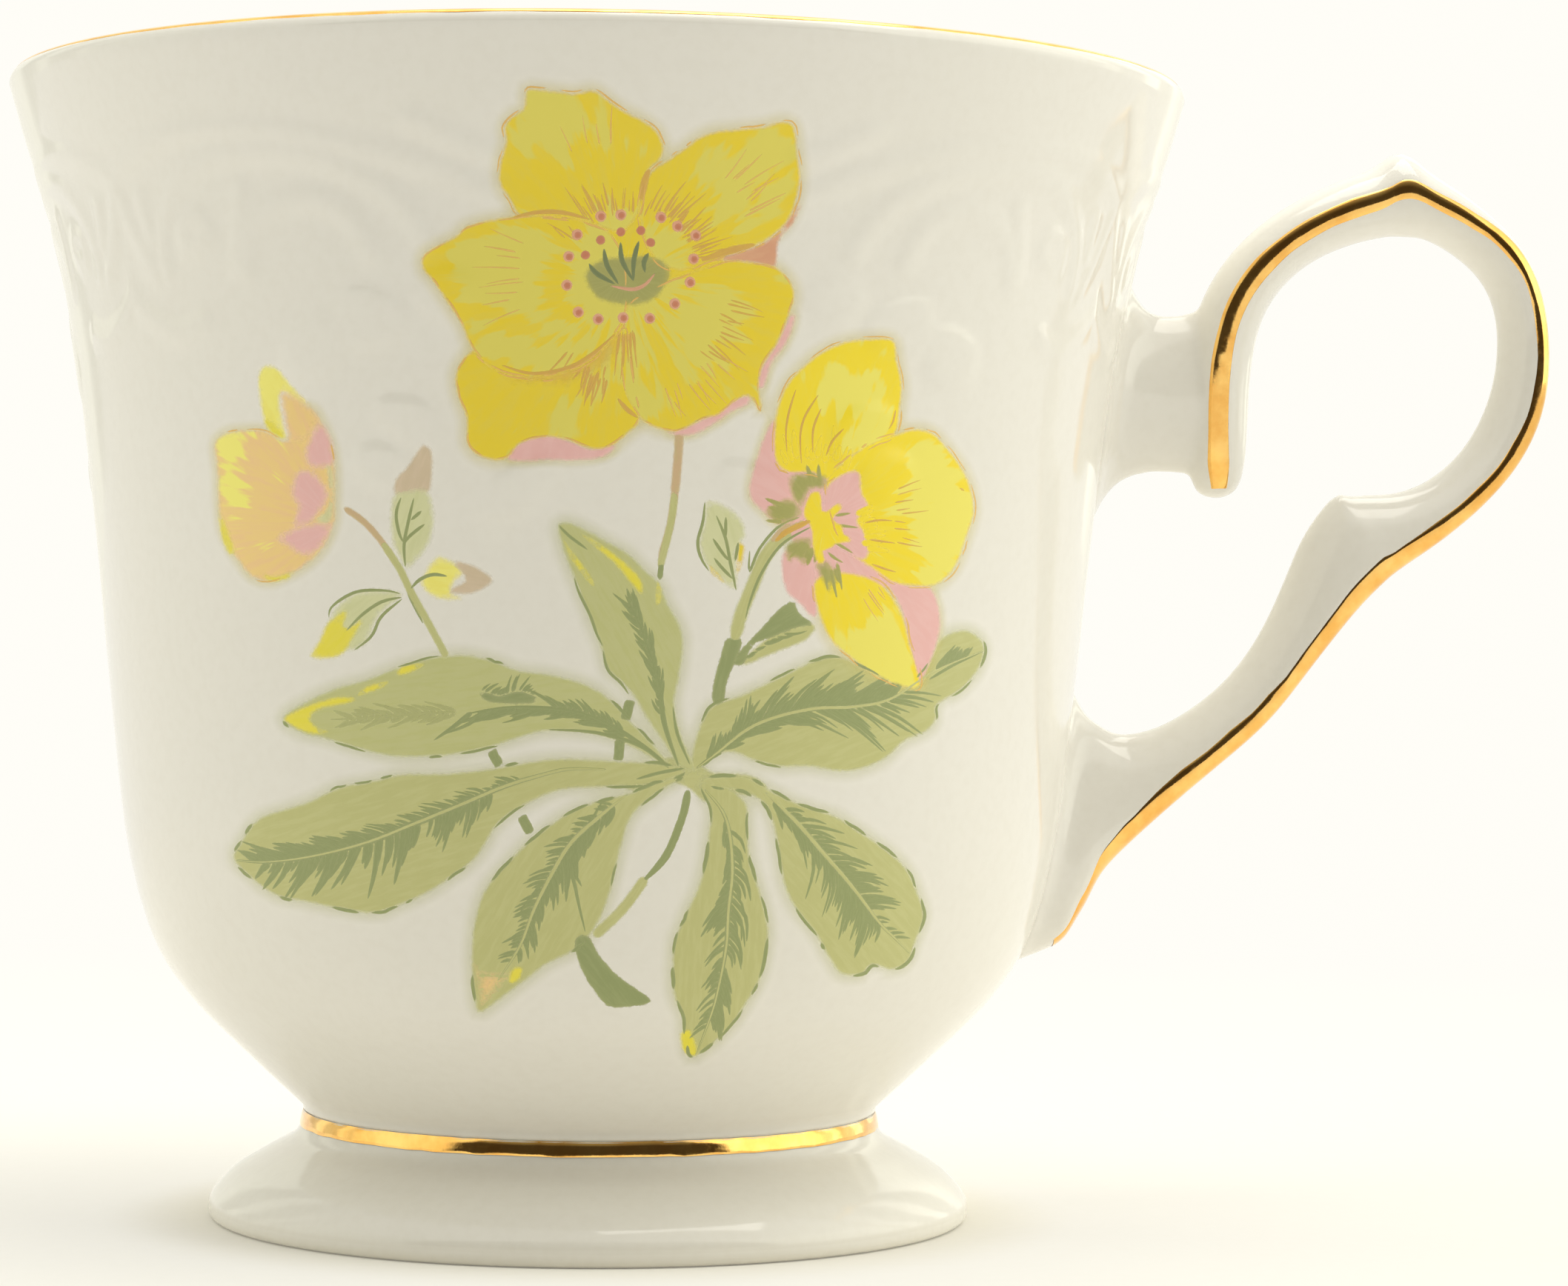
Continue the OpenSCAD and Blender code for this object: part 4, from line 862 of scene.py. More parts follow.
RIM_SPAN = (36, 128, 13)
rim_line = arc((LIP_CENTRE, LIP_H), LIP_R, *RIM_SPAN)
rim_out = arc((0, 0), 1, *RIM_SPAN)
gold_ring("gold_rim", "rim_gilding", (rim_line, rim_out), 3, 0.05)
waist_line = np.array([(19.86, 6.26), (19.78, 6.42), (19.72, 6.6), (19.68, 6.78), (19.65, 6.96),
                       (19.63, 7.12), (19.62, 7.28)])
waist_out = np.array([(1, 0.2), (1, 0.1), (1, 0), (1, 0), (1, 0), (1, 0), (1, 0)])
gold_ring("gold_waist", "waist_gilding", (waist_line, waist_out), 5, 0.03)


def ridge_gold(name, node_name, side):
    """The gold along one ridge of the handle, laid on its surface."""
    stations = eased(curve(SCROLL, 14), 14)[14:-14]
    mid, across, half, spare = [], [], [], []
    for s in stations:
        out, inn = np.array([s[0], s[1]]), np.array([s[2], s[3]])
        size = np.linalg.norm(out - inn)
        mid.append((out + inn) / 2 + (out - inn) * s[5] / 2)
        across.append((out - inn) / size)
        half.append(size / 2)
        spare.append(size / 2 * (1 - s[5]))
    t = np.linspace(0, 1, len(mid))
    width = np.interp(t, [0, 0.03, 0.2, 0.42, 0.5, 0.67, 0.83, 0.9, 0.96, 1],
                      [0.6, 0.78, 0.74, 0.6, 0.64, 0.8, 0.8, 0.98, 0.65, 0.4])
    width = width + wander(len(t), 0.06, 6, 11)
    edgewards = np.interp(t, [0, 0.12, 0.2, 0.36, 0.42, 0.5, 1], [0, 0, 0, 0.1, 0.6, 1, 1])
    n = 15
    verts, faces = [], []
    for i in range(len(t)):
        centre = (spare[i] - width[i]) * edgewards[i]
        for k in range(n):
            w = min((k / (n - 1) * 2 - 1) * width[i] + centre, spare[i] * 0.995)
            spot = mid[i] + across[i] * w
            hit = handle_bvh.ray_cast(Vector((spot[0], side * 12, spot[1])), Vector((0, -side, 0)))
            if hit[0] is None or hit[0].y * side < 0:
                hit = handle_bvh.find_nearest(Vector((spot[0], side * 0.6, spot[1])))
            edge = min(k, n - 1 - k)
            lift = (-0.04, 0.015)[edge] if edge < 2 else GILT_PROUD
            verts.append(hit[0] + hit[1].normalized() * lift)
    for i in range(len(t) - 1):
        for k in range(n - 1):
            face = (i * n + k, i * n + k + 1, (i + 1) * n + k + 1, (i + 1) * n + k)
            faces.append(face if side > 0 else face[::-1])
    hand_over(build(name, verts, faces, [GOLD]), "gilding", node_name)


ridge_gold("gold_handle_front", "handle_gilding_front", -1)
ridge_gold("gold_handle_back", "handle_gilding_back", 1)


# ---------------------------------------------------------------- the bouquet
class Print:
    """One part of the bouquet: thin fired sheets and strokes on the bowl's front."""

    all_made = []

    def __init__(self, name, replaced, finish):
        Print.all_made.append(self)
        self.name, self.replaced, self.finish = name, replaced, finish
        self.verts, self.faces, self.slots = [], [], []
        self.cover, self.way, self.tone, self.paints = [], [], [], []

    def paint(self, name):
        if name not in self.paints:
            self.paints.append(name)
        return self.paints.index(name)

    def add(self, flat, faces, cover, way, lift, paint, tone=None):
        start, slot = len(self.verts), self.paint(paint)
        flat = np.array(flat)
        r = wall_radius(flat[:, 1])
        a = np.arcsin(np.clip(flat[:, 0] / r, -1, 1))
        rise = relief(np.degrees(a), flat[:, 1]) * np.clip((flat[:, 1] - RELIEF_LOW) / 0.6, 0, 1)
        r = r + rise + lift + 0.012 * np.array(cover)
        self.verts += list(zip(r * np.sin(a), -r * np.cos(a), flat[:, 1]))
        self.faces += [tuple(start + i for i in f) for f in faces]
        self.slots += [slot] * len(faces)
        self.cover += list(cover)
        self.way += list(way)
        self.tone += [0.0] * len(flat) if tone is None else list(tone)

    def fill(self, outline, paint, lift, centre=None, along=0.0, grow=0.15, soft=0.4, gap=0.42, zones=(),
             zone_soft=1.3):
        """A filled shape. Its brush marks run out from centre, or at the angle along. The zones
        are outlines inside it where its lighter colour shows."""
        edge = loop(outline, 4)
        round_it = np.linalg.norm(np.roll(edge, -1, axis=0) - edge, axis=1).sum()
        edge = evenly(edge, min(0.3, round_it / 20), closed=True)
        if signed_area(edge) < 0:
            edge = edge[::-1]
        ahead = np.roll(edge, -1, axis=0) - np.roll(edge, 1, axis=0)
        ahead /= np.linalg.norm(ahead, axis=1)[:, None] + 1e-9
        out = np.stack([ahead[:, 1], -ahead[:, 0]], axis=1)
        edge = edge + out * grow
        closed = np.vstack([edge, edge[:1]])
        points = [tuple(p) for p in edge]
        for inset, least in ((0.16, 0.12), (0.36, 0.3)):
            ring = edge - out * inset
            x, y = ring[:, 0], ring[:, 1]
            points += [tuple(p) for p in ring[(distance_to(closed, x, y) > least) & inside(edge, x, y)]]
        low, high = edge.min(0), edge.max(0)
        xs, ys = np.meshgrid(np.arange(low[0], high[0], gap), np.arange(low[1], high[1], gap))
        xs = xs + (np.arange(xs.shape[0])[:, None] % 2) * gap / 2
        xs, ys = xs.ravel(), ys.ravel()
        keep = inside(edge, xs, ys)
        xs, ys = xs[keep], ys[keep]
        keep = distance_to(closed, xs, ys) > 0.52
        points += list(zip(xs[keep], ys[keep]))
        n = len(edge)
        made = delaunay_2d_cdt([Vector(p) for p in points], [], [list(range(n))], 1, 1e-5)
        flat = np.array([(v.x, v.y) for v in made[0]])
        cover = np.clip(distance_to(closed, flat[:, 0], flat[:, 1]) / soft, 0, 1)
        if centre is not None:
            u, v = flat[:, 0] - centre[0], flat[:, 1] - centre[1]
            rho = np.hypot(u, v)
            way = np.stack([np.arctan2(v, u) * 7, rho * 0.22, np.full(len(u), lift * 300)], axis=1)
        else:
            c, s = math.cos(math.radians(along)), math.sin(math.radians(along))
            way = np.stack([(flat[:, 0] * c + flat[:, 1] * s) * 0.25,
                            (flat[:, 1] * c - flat[:, 0] * s) * 1.6,
                            np.full(len(flat), lift * 300)], axis=1)
        tone = np.zeros(len(flat))
        for zone in zones:
            line = loop(zone, 4)
            away = distance_to(np.vstack([line, line[:1]]), flat[:, 0], flat[:, 1])
            away = np.where(inside(line, flat[:, 0], flat[:, 1]), away, -away)
            tone = np.maximum(tone, np.clip(0.5 + away / (2 * zone_soft), 0, 1))
        self.add(flat, [f if turn(flat, f) > 0 else f[::-1] for f in made[2]], cover, way, lift, paint, tone)

    def glow(self, outline, paint, lift, reach=0.9):
        """The soft tint that the fired colour leaves in the glaze round a shape."""
        self.fill(outline, paint, lift, along=30, grow=reach, soft=reach * 1.15, gap=0.6)

    def stroke(self, path, paint, lift, width, taper=(0.3, 0.3), smooth_steps=5):
        """A brush stroke along a path: width at its widest, narrowing over a share at each end."""
        line = evenly(curve(path, smooth_steps) if len(path) > 2 else np.array(path, float), 0.22)
        if len(line) < 3:
            line = evenly(line, np.linalg.norm(line[-1] - line[0]) / 3)
        left = leftwards(line)
        t = np.linspace(0, 1, len(line))
        swell = np.minimum(1, np.minimum((t + 0.02) / max(taper[0], 1e-3), (1.02 - t) / max(taper[1], 1e-3)))
        half = width / 2 * np.sqrt(np.clip(swell, 0.02, 1))
        across = (-1.25, -0.7, 0, 0.7, 1.25)
        shade = (0, 0.75, 1, 0.75, 0)
        flat, cover, way, faces = [], [], [], []
        for i, p in enumerate(line):
            for k in range(5):
                flat.append(p + left[i] * across[k] * half[i])
                end = min(1, (i + 0.3) / 1.2, (len(line) - 0.7 - i) / 1.2)
                cover.append(shade[k] * max(end, 0))
                way.append((t[i] * 2, across[k], lift * 300 + line[0][0]))
        for i in range(len(line) - 1):
            for k in range(4):
                faces.append((i * 5 + k + 1, i * 5 + k, (i + 1) * 5 + k, (i + 1) * 5 + k + 1))
        self.add(flat, faces, cover, way, lift, paint)

    def comb(self, rib, side, start, stop, reach, gap, paint="green", lean=48, width=0.2, lift=0.052, seed=0,
             curl=10):
        """Hatching beside a midrib: tapering strokes that lean towards its tip. reach is their
        length at the start, the middle and the stop."""
        pick = random.Random(seed * 31 + int(side * 7 + start * 100))
        line = evenly(curve(rib, 6), 0.1)
        heading = np.gradient(line, axis=0)
        run = len(line) * 0.1
        count = max(int((stop - start) * run / (gap * 0.86)), 1)
        beat, swell = pick.uniform(0, 6), pick.uniform(0.7, 1.1)
        for i in range(count):
            beat += swell * gap / 0.3 * pick.uniform(0.5, 1.5)
            if pick.random() < 0.04:
                continue
            t = start + (stop - start) * (i + pick.uniform(-0.3, 0.3)) / count
            k = min(max(int(t * (len(line) - 1)), 0), len(line) - 1)
            share = i / max(count - 1, 1)
            long = np.interp(share, np.linspace(0, 1, len(reach)), reach) * pick.uniform(0.75, 1.15)
            long *= 0.84 + 0.3 * math.sin(beat)
            base = math.atan2(heading[k][1], heading[k][0])
            a1 = base + side * math.radians(lean + pick.uniform(-5, 5))
            a2 = base + side * math.radians(lean - curl + pick.uniform(-5, 5))
            p0 = line[k] + np.array([math.cos(a1), math.sin(a1)]) * 0.05
            p1 = p0 + np.array([math.cos(a1), math.sin(a1)]) * long * 0.5
            p2 = p1 + np.array([math.cos(a2), math.sin(a2)]) * long * 0.5
            self.stroke([p0, p1, p2], paint, lift + 0.002 * (i % 3), width * pick.uniform(0.8, 1.25),
                        (0.05, 0.75), 3)

    def edging(self, outline, paint, lift, width, share=0.4, seed=0, dash=2.2, inset=0.02):
        """A broken outline: dashes along a shape's edge, at random."""
        pick = random.Random(seed)
        edge = evenly(loop(outline, 5), 0.15, closed=True)
        n = len(edge)
        spans, t = [], pick.uniform(0, 0.04)
        while t < 1:
            long = dash * pick.uniform(0.4, 1.5) / (n * 0.15)
            if pick.random() < share * 1.6:
                spans.append((t, min(t + long * 0.8, 1)))
            t += long * 1.1
        for a, b in spans:
            i, j = int(a * n), int(b * n)
            if j - i < 4:
                continue
            path = np.array([edge[k % n] for k in range(i, j + 1)])
            shake = wander(len(path), 0.05, 4, seed + i)
            path = path + leftwards(path) * (shake[:, None] + inset)
            self.stroke(path[::2], paint, lift, width * pick.uniform(0.75, 1.2), (0.3, 0.3), 1)

    def rays(self, centre, angles, inner, outer, paint, lift, width, count, seed, within=(), wobble=0.35):
        """Short strokes that run out from a centre between two angles, kept within some shapes."""
        pick = random.Random(seed)
        shapes = [loop(ART[name], 4) for name in within]
        for i in range(count):
            a = math.radians(angles[0] + (angles[1] - angles[0]) * (i + pick.uniform(-0.4, 0.4)) / count)
            r0 = inner * pick.uniform(0.94, 1.1)
            r1 = r0 + (outer - inner) * pick.uniform(0.45, 1.1)
            bend = pick.uniform(-1, 1) * wobble * 0.12
            path = [(centre[0] + r * math.cos(a + bend * s), centre[1] + r * math.sin(a + bend * s))
                    for r, s in ((r0, 0), ((r0 + r1) / 2, 0.4), (r1, 1))]
            wide = width * pick.uniform(0.7, 1.2)
            if not shapes or any(inside(s, *zip(*path)).all() for s in shapes):
                self.stroke(path, paint, lift, wide, (0.15, 0.7), 3)

    def dot(self, spot, size, paint, lift):
        self.fill(oval(spot, size, size, 8), paint, lift, along=30, grow=0.04, soft=0.14)

    def done(self):
        made = build(self.name, self.verts, self.faces, [PAINT[p] for p in self.paints], self.slots,
                     {"cover": self.cover, "way": self.way, "tone": self.tone})
        made.visible_shadow = made.visible_diffuse = made.visible_glossy = False
        hand_over(made, self.finish, *self.replaced)


def oval(centre, wide, tall, count):
    return [(centre[0] + wide * math.cos(a), centre[1] + tall * math.sin(a))
            for a in np.linspace(0, 2 * math.pi, count, endpoint=False)]


def signed_area(p):
    q = np.roll(p, -1, axis=0)
    return float(np.sum(p[:, 0] * q[:, 1] - q[:, 0] * p[:, 1]) / 2)


def turn(flat, f):
    a, b, c = flat[f[0]], flat[f[1]], flat[f[2]]
    return (b[0] - a[0]) * (c[1] - a[1]) - (b[1] - a[1]) * (c[0] - a[0])


A = ART
LEAF, STEM, PETAL, ZONE, VEIN, TOP = 0.018, 0.046, 0.062, 0.105, 0.128, 0.152
EYE = (1.6, 61.3)
PETALS = ("petal_top", "petal_right", "petal_left", "petal_low_left", "petal_low_right")
HATCH, FAR_HATCH, BUD_VEIN, LEAF_EDGE, RIB_LIGHT = 0.052, 0.047, 0.055, 0.06, 0.066



# ---- leaves ----
def leaf(name, node_name, outline, paint, lift, along):
    """A leaf's print with its glow and its body colour."""
    made = Print(name, [node_name], "enamel_sage")
    made.glow(A[outline], "green glow", LEAF - 0.008)
    made.fill(A[outline], paint, lift, along=along)
    return made


p = leaf("print_leaf_left", "leaf_left", "lf_l", "sage", LEAF, 18)
rib = A["lf_l_rib"]
p.stroke(rib, "green", HATCH, 0.42, (0.5, 0.4))
p.comb(rib, -1, 0.22, 0.6, (0.9, 1.5, 1.6), 0.3, seed=1, lean=42)
p.comb(rib, -1, 0.6, 0.8, (1.8, 2.6, 2.6), 0.34, seed=2, lean=38, width=0.28)
p.comb(rib, -1, 0.8, 0.95, (2.2, 2.4, 1.2), 0.17, seed=3, lean=32, width=0.34)
p.comb(rib, 1, 0.3, 0.48, (1.8, 2.4, 2.2), 0.2, seed=4, lean=58, width=0.26)
p.comb(rib, 1, 0.5, 0.66, (3.4, 3.2, 2.8), 0.4, seed=5, lean=62, width=0.4)
p.comb(rib, 1, 0.66, 0.93, (3.0, 2.8, 1.4), 0.34, seed=6, lean=52, width=0.34)
p.stroke(rib, "sage", RIB_LIGHT, 0.2, (0.2, 0.6))
p.edging(A["lf_l"], "green", LEAF_EDGE, 0.2, share=0.36, seed=4)

p = leaf("print_leaf_lower_left", "leaf_lower_left", "lf_ll", "sage", LEAF + 0.004, 60)
p.fill(A["lf_ll_pink"], "peach", LEAF + 0.012, along=60, soft=1.2, grow=0)
p.fill(A["lf_ll_y"], "lemon", LEAF + 0.02, along=60)
rib = A["lf_ll_rib"]
p.stroke(rib, "green", HATCH, 0.3, (0.3, 0.5))
p.comb(rib, -1, 0.08, 0.9, (0.9, 1.3, 1.6, 1.1), 0.3, seed=11, lean=50, width=0.22)
p.comb(rib, 1, 0.08, 0.5, (2.0, 2.7, 2.6), 0.2, seed=12, lean=38, width=0.3)
p.comb(rib, 1, 0.5, 0.85, (2.0, 1.6, 1.2), 0.25, seed=13, lean=34, width=0.26)
p.comb(rib, -1, 0.5, 0.56, (3.4, 3.0), 0.5, seed=14, lean=20, width=0.24)
p.stroke(A["lf_ll_rib2"], "green", 0.054, 0.26, (0.3, 0.5))
p.comb(A["lf_ll_rib2"], 1, 0.2, 0.6, (1.2, 1.4), 0.25, seed=15, lean=30, width=0.26)
p.stroke(rib, "sage", RIB_LIGHT, 0.24, (0.2, 0.6))
p.edging(A["lf_ll"], "green", LEAF_EDGE, 0.2, share=0.32, seed=6)

p = leaf("print_leaf_bottom", "leaf_bottom", "lf_b", "sage", LEAF + 0.002, 88)
p.fill(A["lf_b_tip"], "lemon", LEAF + 0.02, along=88)
rib = A["lf_b_rib"]
p.stroke(rib, "green", HATCH, 0.34, (0.3, 0.6))
p.comb(rib, -1, 0.14, 0.34, (1.4, 1.6, 1.2), 0.32, seed=21, lean=28, width=0.26)
p.comb(rib, -1, 0.34, 0.5, (1.8, 2.4, 2.2), 0.18, seed=22, lean=40, width=0.3)
p.comb(rib, -1, 0.5, 0.62, (2.2, 1.8), 0.5, seed=23, lean=44, width=0.24)
p.comb(rib, 1, 0.18, 0.62, (1.8, 2.6, 2.4), 0.42, seed=24, lean=42, width=0.24, curl=30)
p.comb(rib, 1, 0.66, 0.85, (2.0, 2.2, 1.8), 0.2, seed=25, lean=32, width=0.32)
p.comb(rib, -1, 0.62, 0.9, (1.6, 1.8, 1.4), 0.4, seed=26, lean=38, width=0.24)
p.stroke(rib, "sage", RIB_LIGHT, 0.18, (0.2, 0.6))
p.edging(A["lf_b"], "green", LEAF_EDGE, 0.22, share=0.42, seed=8)

p = leaf("print_leaf_lower_right", "leaf_lower_right", "lf_lr", "sage", LEAF, -48)
rib = A["lf_lr_rib"]
p.stroke(rib, "green", HATCH, 0.3, (0.3, 0.5))
p.comb(rib, -1, 0.05, 0.3, (2.2, 2.6, 3.0), 0.2, seed=31, lean=22, width=0.3, curl=-8)
p.comb(rib, -1, 0.3, 0.8, (3.2, 3.6, 2.6), 0.34, seed=32, lean=38, width=0.24, curl=-18)
p.comb(rib, -1, 0.5, 0.72, (3.0, 2.6), 0.2, seed=33, lean=42, width=0.3, curl=-14)
p.comb(rib, 1, 0.1, 0.55, (2.0, 2.8, 3.0), 0.36, seed=34, lean=44, width=0.26, curl=16)
p.comb(rib, 1, 0.5, 0.72, (2.6, 2.8, 2.2), 0.2, seed=35, lean=50, width=0.3)
p.comb(rib, 1, 0.75, 0.92, (1.4, 1.0), 0.5, seed=36, lean=44, width=0.22)
p.stroke(rib, "sage", RIB_LIGHT, 0.26, (0.2, 0.6))
p.edging(A["lf_lr"], "green", LEAF_EDGE, 0.22, share=0.45, seed=12)

p = leaf("print_leaf_right", "leaf_right", "lf_r", "sage", LEAF + 0.004, 20)
rib = A["lf_r_rib"]
p.stroke(rib[:6] + [(18.0, 35.9)], "green", HATCH, 0.34, (0.2, 0.4))
p.stroke([(21.0, 37.2), (22.8, 38.2), (24.9, 39.1)], "green", HATCH, 0.2, (0.2, 0.4))
p.comb(rib, 1, 0.04, 0.2, (1.6, 2.2), 0.25, seed=41, lean=34, width=0.26, curl=-8)
p.comb(rib, 1, 0.18, 0.62, (2.6, 3.2, 2.6), 0.3, seed=42, lean=40, width=0.3, curl=12)
p.comb(rib, 1, 0.36, 0.66, (2.6, 2.8, 1.6), 0.17, seed=43, lean=36, width=0.34, curl=8)
p.comb(rib, -1, 0.1, 0.34, (1.4, 2.2, 2.4), 0.18, seed=44, lean=30, width=0.32)
p.comb(rib, -1, 0.3, 0.72, (3.2, 4.0, 2.6), 0.36, seed=45, lean=34, width=0.24, curl=-6)
p.comb(rib, 1, 0.82, 0.93, (1.6, 1.2), 0.16, seed=46, lean=38, width=0.3)
p.stroke(rib, "sage", RIB_LIGHT, 0.2, (0.2, 0.6))
p.edging(A["lf_r"], "green", LEAF_EDGE, 0.2, share=0.3, seed=14)

p = leaf("print_leaf_upper_left", "leaf_upper_left", "lf_ul", "pale", LEAF + 0.008, 8)
for part in ("lf_ul_tip", "lf_ul_y2", "lf_ul_y3"):
    p.fill(A[part], "lemon", LEAF + 0.02, along=15, grow=0.05)
p.fill(A["lf_ul_wedge"], "green", 0.044, along=5)
rib = A["lf_ul_rib"]
p.stroke(rib[:7], "green", HATCH, 0.3, (0.3, 0.5))
p.stroke(A["lf_ul_rib2"], "green", HATCH, 0.24, (0.3, 0.5))
p.comb(rib, 1, 0.2, 0.5, (1.2, 1.5, 1.8), 0.28, seed=51, lean=30, width=0.26)
p.comb(rib, 1, 0.5, 0.82, (2.2, 2.6, 2.6), 0.3, seed=52, lean=26, width=0.26)
p.comb(rib, -1, 0.22, 0.5, (1.0, 1.4, 1.8), 0.34, seed=53, lean=36, width=0.22)
p.comb(A["lf_ul_wedge"][:4], 1, 0.05, 0.95, (0.8, 1.3, 0.6), 0.22, seed=54, lean=60, width=0.2)
far = [(-8.4, 35.0), (-11.5, 34.8), (-14.5, 34.5), (-16.3, 34.4)]
p.stroke(far, "moss", FAR_HATCH, 0.24, (0.3, 0.6))
p.comb(far, 1, 0.0, 0.9, (1.6, 1.8, 1.0), 0.46, "moss", 28, 0.24, FAR_HATCH, 55)
p.comb(far, -1, 0.0, 0.9, (1.6, 1.8, 1.2), 0.46, "moss", 28, 0.24, FAR_HATCH, 56)
p.edging(A["lf_ul"], "green", LEAF_EDGE, 0.18, share=0.3, seed=15)

p = leaf("print_leaf_upper", "leaf_upper", "lf_u", "pale", LEAF + 0.012, -60)
for part in ("lf_u_y1", "lf_u_y2", "lf_u_y3"):
    p.fill(A[part], "lemon", LEAF + 0.022, along=-50, grow=0.05)
rib = A["lf_u_rib"]
p.stroke(rib, "green", HATCH, 0.34, (0.5, 0.3))
p.stroke(A["lf_u_rib2"], "green", HATCH, 0.2, (0.4, 0.4))
up = rib[::-1]
p.comb(up, 1, 0.3, 0.95, (1.0, 1.5, 1.6), 0.34, seed=61, lean=30, width=0.22)
p.comb(up, -1, 0.3, 0.98, (1.0, 1.4, 1.6), 0.34, seed=62, lean=22, width=0.22)
for part in ("lf_u_out", "lf_u_out2", "lf_u_tip"):
    p.stroke(A[part], "green", LEAF_EDGE, 0.18)

p = Print("print_leaf_dark", ["leaf_dark"], "enamel_green")
p.fill(A["dk_leaf_light"], "sage", LEAF + 0.01, along=30)
p.fill(A["dk_leaf"], "green", LEAF + 0.02, along=30)
rib = [(8.9, 38.3), (10.4, 39.4), (12.0, 40.2)]
p.comb(rib, -1, 0.1, 0.95, (0.8, 1.4, 1.6), 0.4, seed=71, lean=22, width=0.2)
p.fill(A["dk_stem"], "green", LEAF + 0.024, along=80)

p = Print("print_leaf_sprig", ["leaf_sprig"], "enamel_sage")
p.fill(A["sprig"], "mist", LEAF, along=40, soft=0.6)
p.fill(A["sprig_yellow"], "lemon", LEAF + 0.012, along=50, soft=0.5)
for k in range(4):
    p.stroke(A["sprig_v%d" % k], "green", 0.04, 0.2, (0.3, 0.4))

# ---- stems ----
p = Print("print_stems", ["stems"], "enamel_sage")
p.stroke(A["stem_main"], "stalk", STEM, 0.5, (0.02, 0.2))
p.stroke([(5.0, 52.4), (4.95, 51.0), (4.85, 49.6), (4.75, 48.4)], "stalk", STEM, 0.6, (0.02, 0.1))
p.stroke([(4.75, 48.6), (4.6, 47.0), (4.2, 45.2), (3.9, 43.9)], "sage", STEM + 0.004, 0.5, (0.1, 0.1))
p.stroke(A["stem_main_dark"], "green", STEM + 0.006, 0.34, (0.1, 0.1))
p.stroke(A["stem_side"], "sage", STEM, 0.9, (0.02, 0.1))
p.stroke([(13.4, 47.2), (12.4, 46.9), (11.4, 46.3), (10.7, 45.6)], "stalk", STEM + 0.004, 0.8, (0.05, 0.6))
for part in ("stem_side_o1", "stem_side_o2"):
    p.stroke(A[part], "green", STEM + 0.012, 0.18)
p.stroke(A["b_stem"][:4], "stalk", STEM, 0.44, (0.1, 0.1))
p.stroke(A["b_stem"][2:], "sage", STEM + 0.004, 0.5, (0.1, 0.05))
p.stroke(A["stem_down"], "green", STEM, 0.5, (0.1, 0.3))
p.stroke(A["stem_down2"], "sage", STEM - 0.002, 0.7, (0.1, 0.1))
p.fill(A["cut"], "green", STEM, along=-50)
knot = [(1.8, 31.6), (3.4, 32.0), (5.0, 32.4), (6.4, 32.0), (7.5, 31.4), (9.6, 31.3), (10.8, 30.4),
        (9.4, 30.0), (8.0, 30.3), (6.9, 29.6), (6.0, 30.3), (4.9, 30.8), (3.4, 30.4), (2.0, 30.4)]
p.fill(knot, "sage", 0.004, along=0)
p.stroke([(2.6, 31.0), (4.0, 31.4), (5.6, 31.7)], "green", STEM + 0.02, 0.2)
for k in range(1, 5):
    p.stroke(A["bit%d" % k], "green", STEM, 0.62, (0.02, 0.02))

# ---- small buds ----
p = Print("print_small_buds", ["small_buds"], "enamel_sage")
p.fill(A["bud1_pink"], "dust", LEAF, along=70)
p.fill(A["bud1_green"], "mist", LEAF + 0.01, along=70, soft=0.6)
for k in range(4):
    p.stroke(A["bud1_v%d" % k], "green", BUD_VEIN, 0.2)
p.fill(A["bud2_lemon"], "citron", LEAF, along=-10, soft=0.6)
p.fill(A["bud2_pink"], "dust", LEAF + 0.006, along=-10)
p.stroke(A["bud2_v"], "green", BUD_VEIN, 0.22)
p.fill(A["bud3"], "mist", LEAF, along=-70, soft=0.6)
p.fill(A["bud3_y"], "yellow", LEAF + 0.008, along=-70, grow=0.03)
p.fill(A["bud3_y2"], "yellow", LEAF + 0.008, along=-70, grow=0.03)
for k in range(6):
    p.stroke(A["bud3_v%d" % k], "green", BUD_VEIN, 0.2)

# ---- the left bud ----
p = Print("print_left_bud", ["left_bud_petals"], "enamel_peach")
base = (-15.8, 46.5)
p.glow(A["b_body"], "gold glow", PETAL - 0.03, 0.7)
p.fill(A["b_lemon_top"], "citron", PETAL, base, soft=0.5)
p.fill(A["b_body"], "peach", PETAL + 0.006, base, soft=0.5, zones=[A["b_lemon_left"]], zone_soft=0.9)
p.fill(A["b_peach_top"], "peach", PETAL + 0.02, base, soft=0.8)
for k in range(1, 4):
    p.fill(A["b_yellow%d" % k], "lemon", PETAL + 0.03, base, soft=0.5)
p.edging(A["b_body"], "outline", VEIN, 0.12, share=0.4, seed=22)
p = Print("print_left_blush", ["left_bud_blush"], "enamel_pink")
for k in range(1, 4):
    p.fill(A["b_pink%d" % k], "pink", ZONE, base, grow=0.25, soft=0.75)
p.fill(A["b_green"], "mist", ZONE + 0.006, along=80, grow=0.1, soft=0.5)

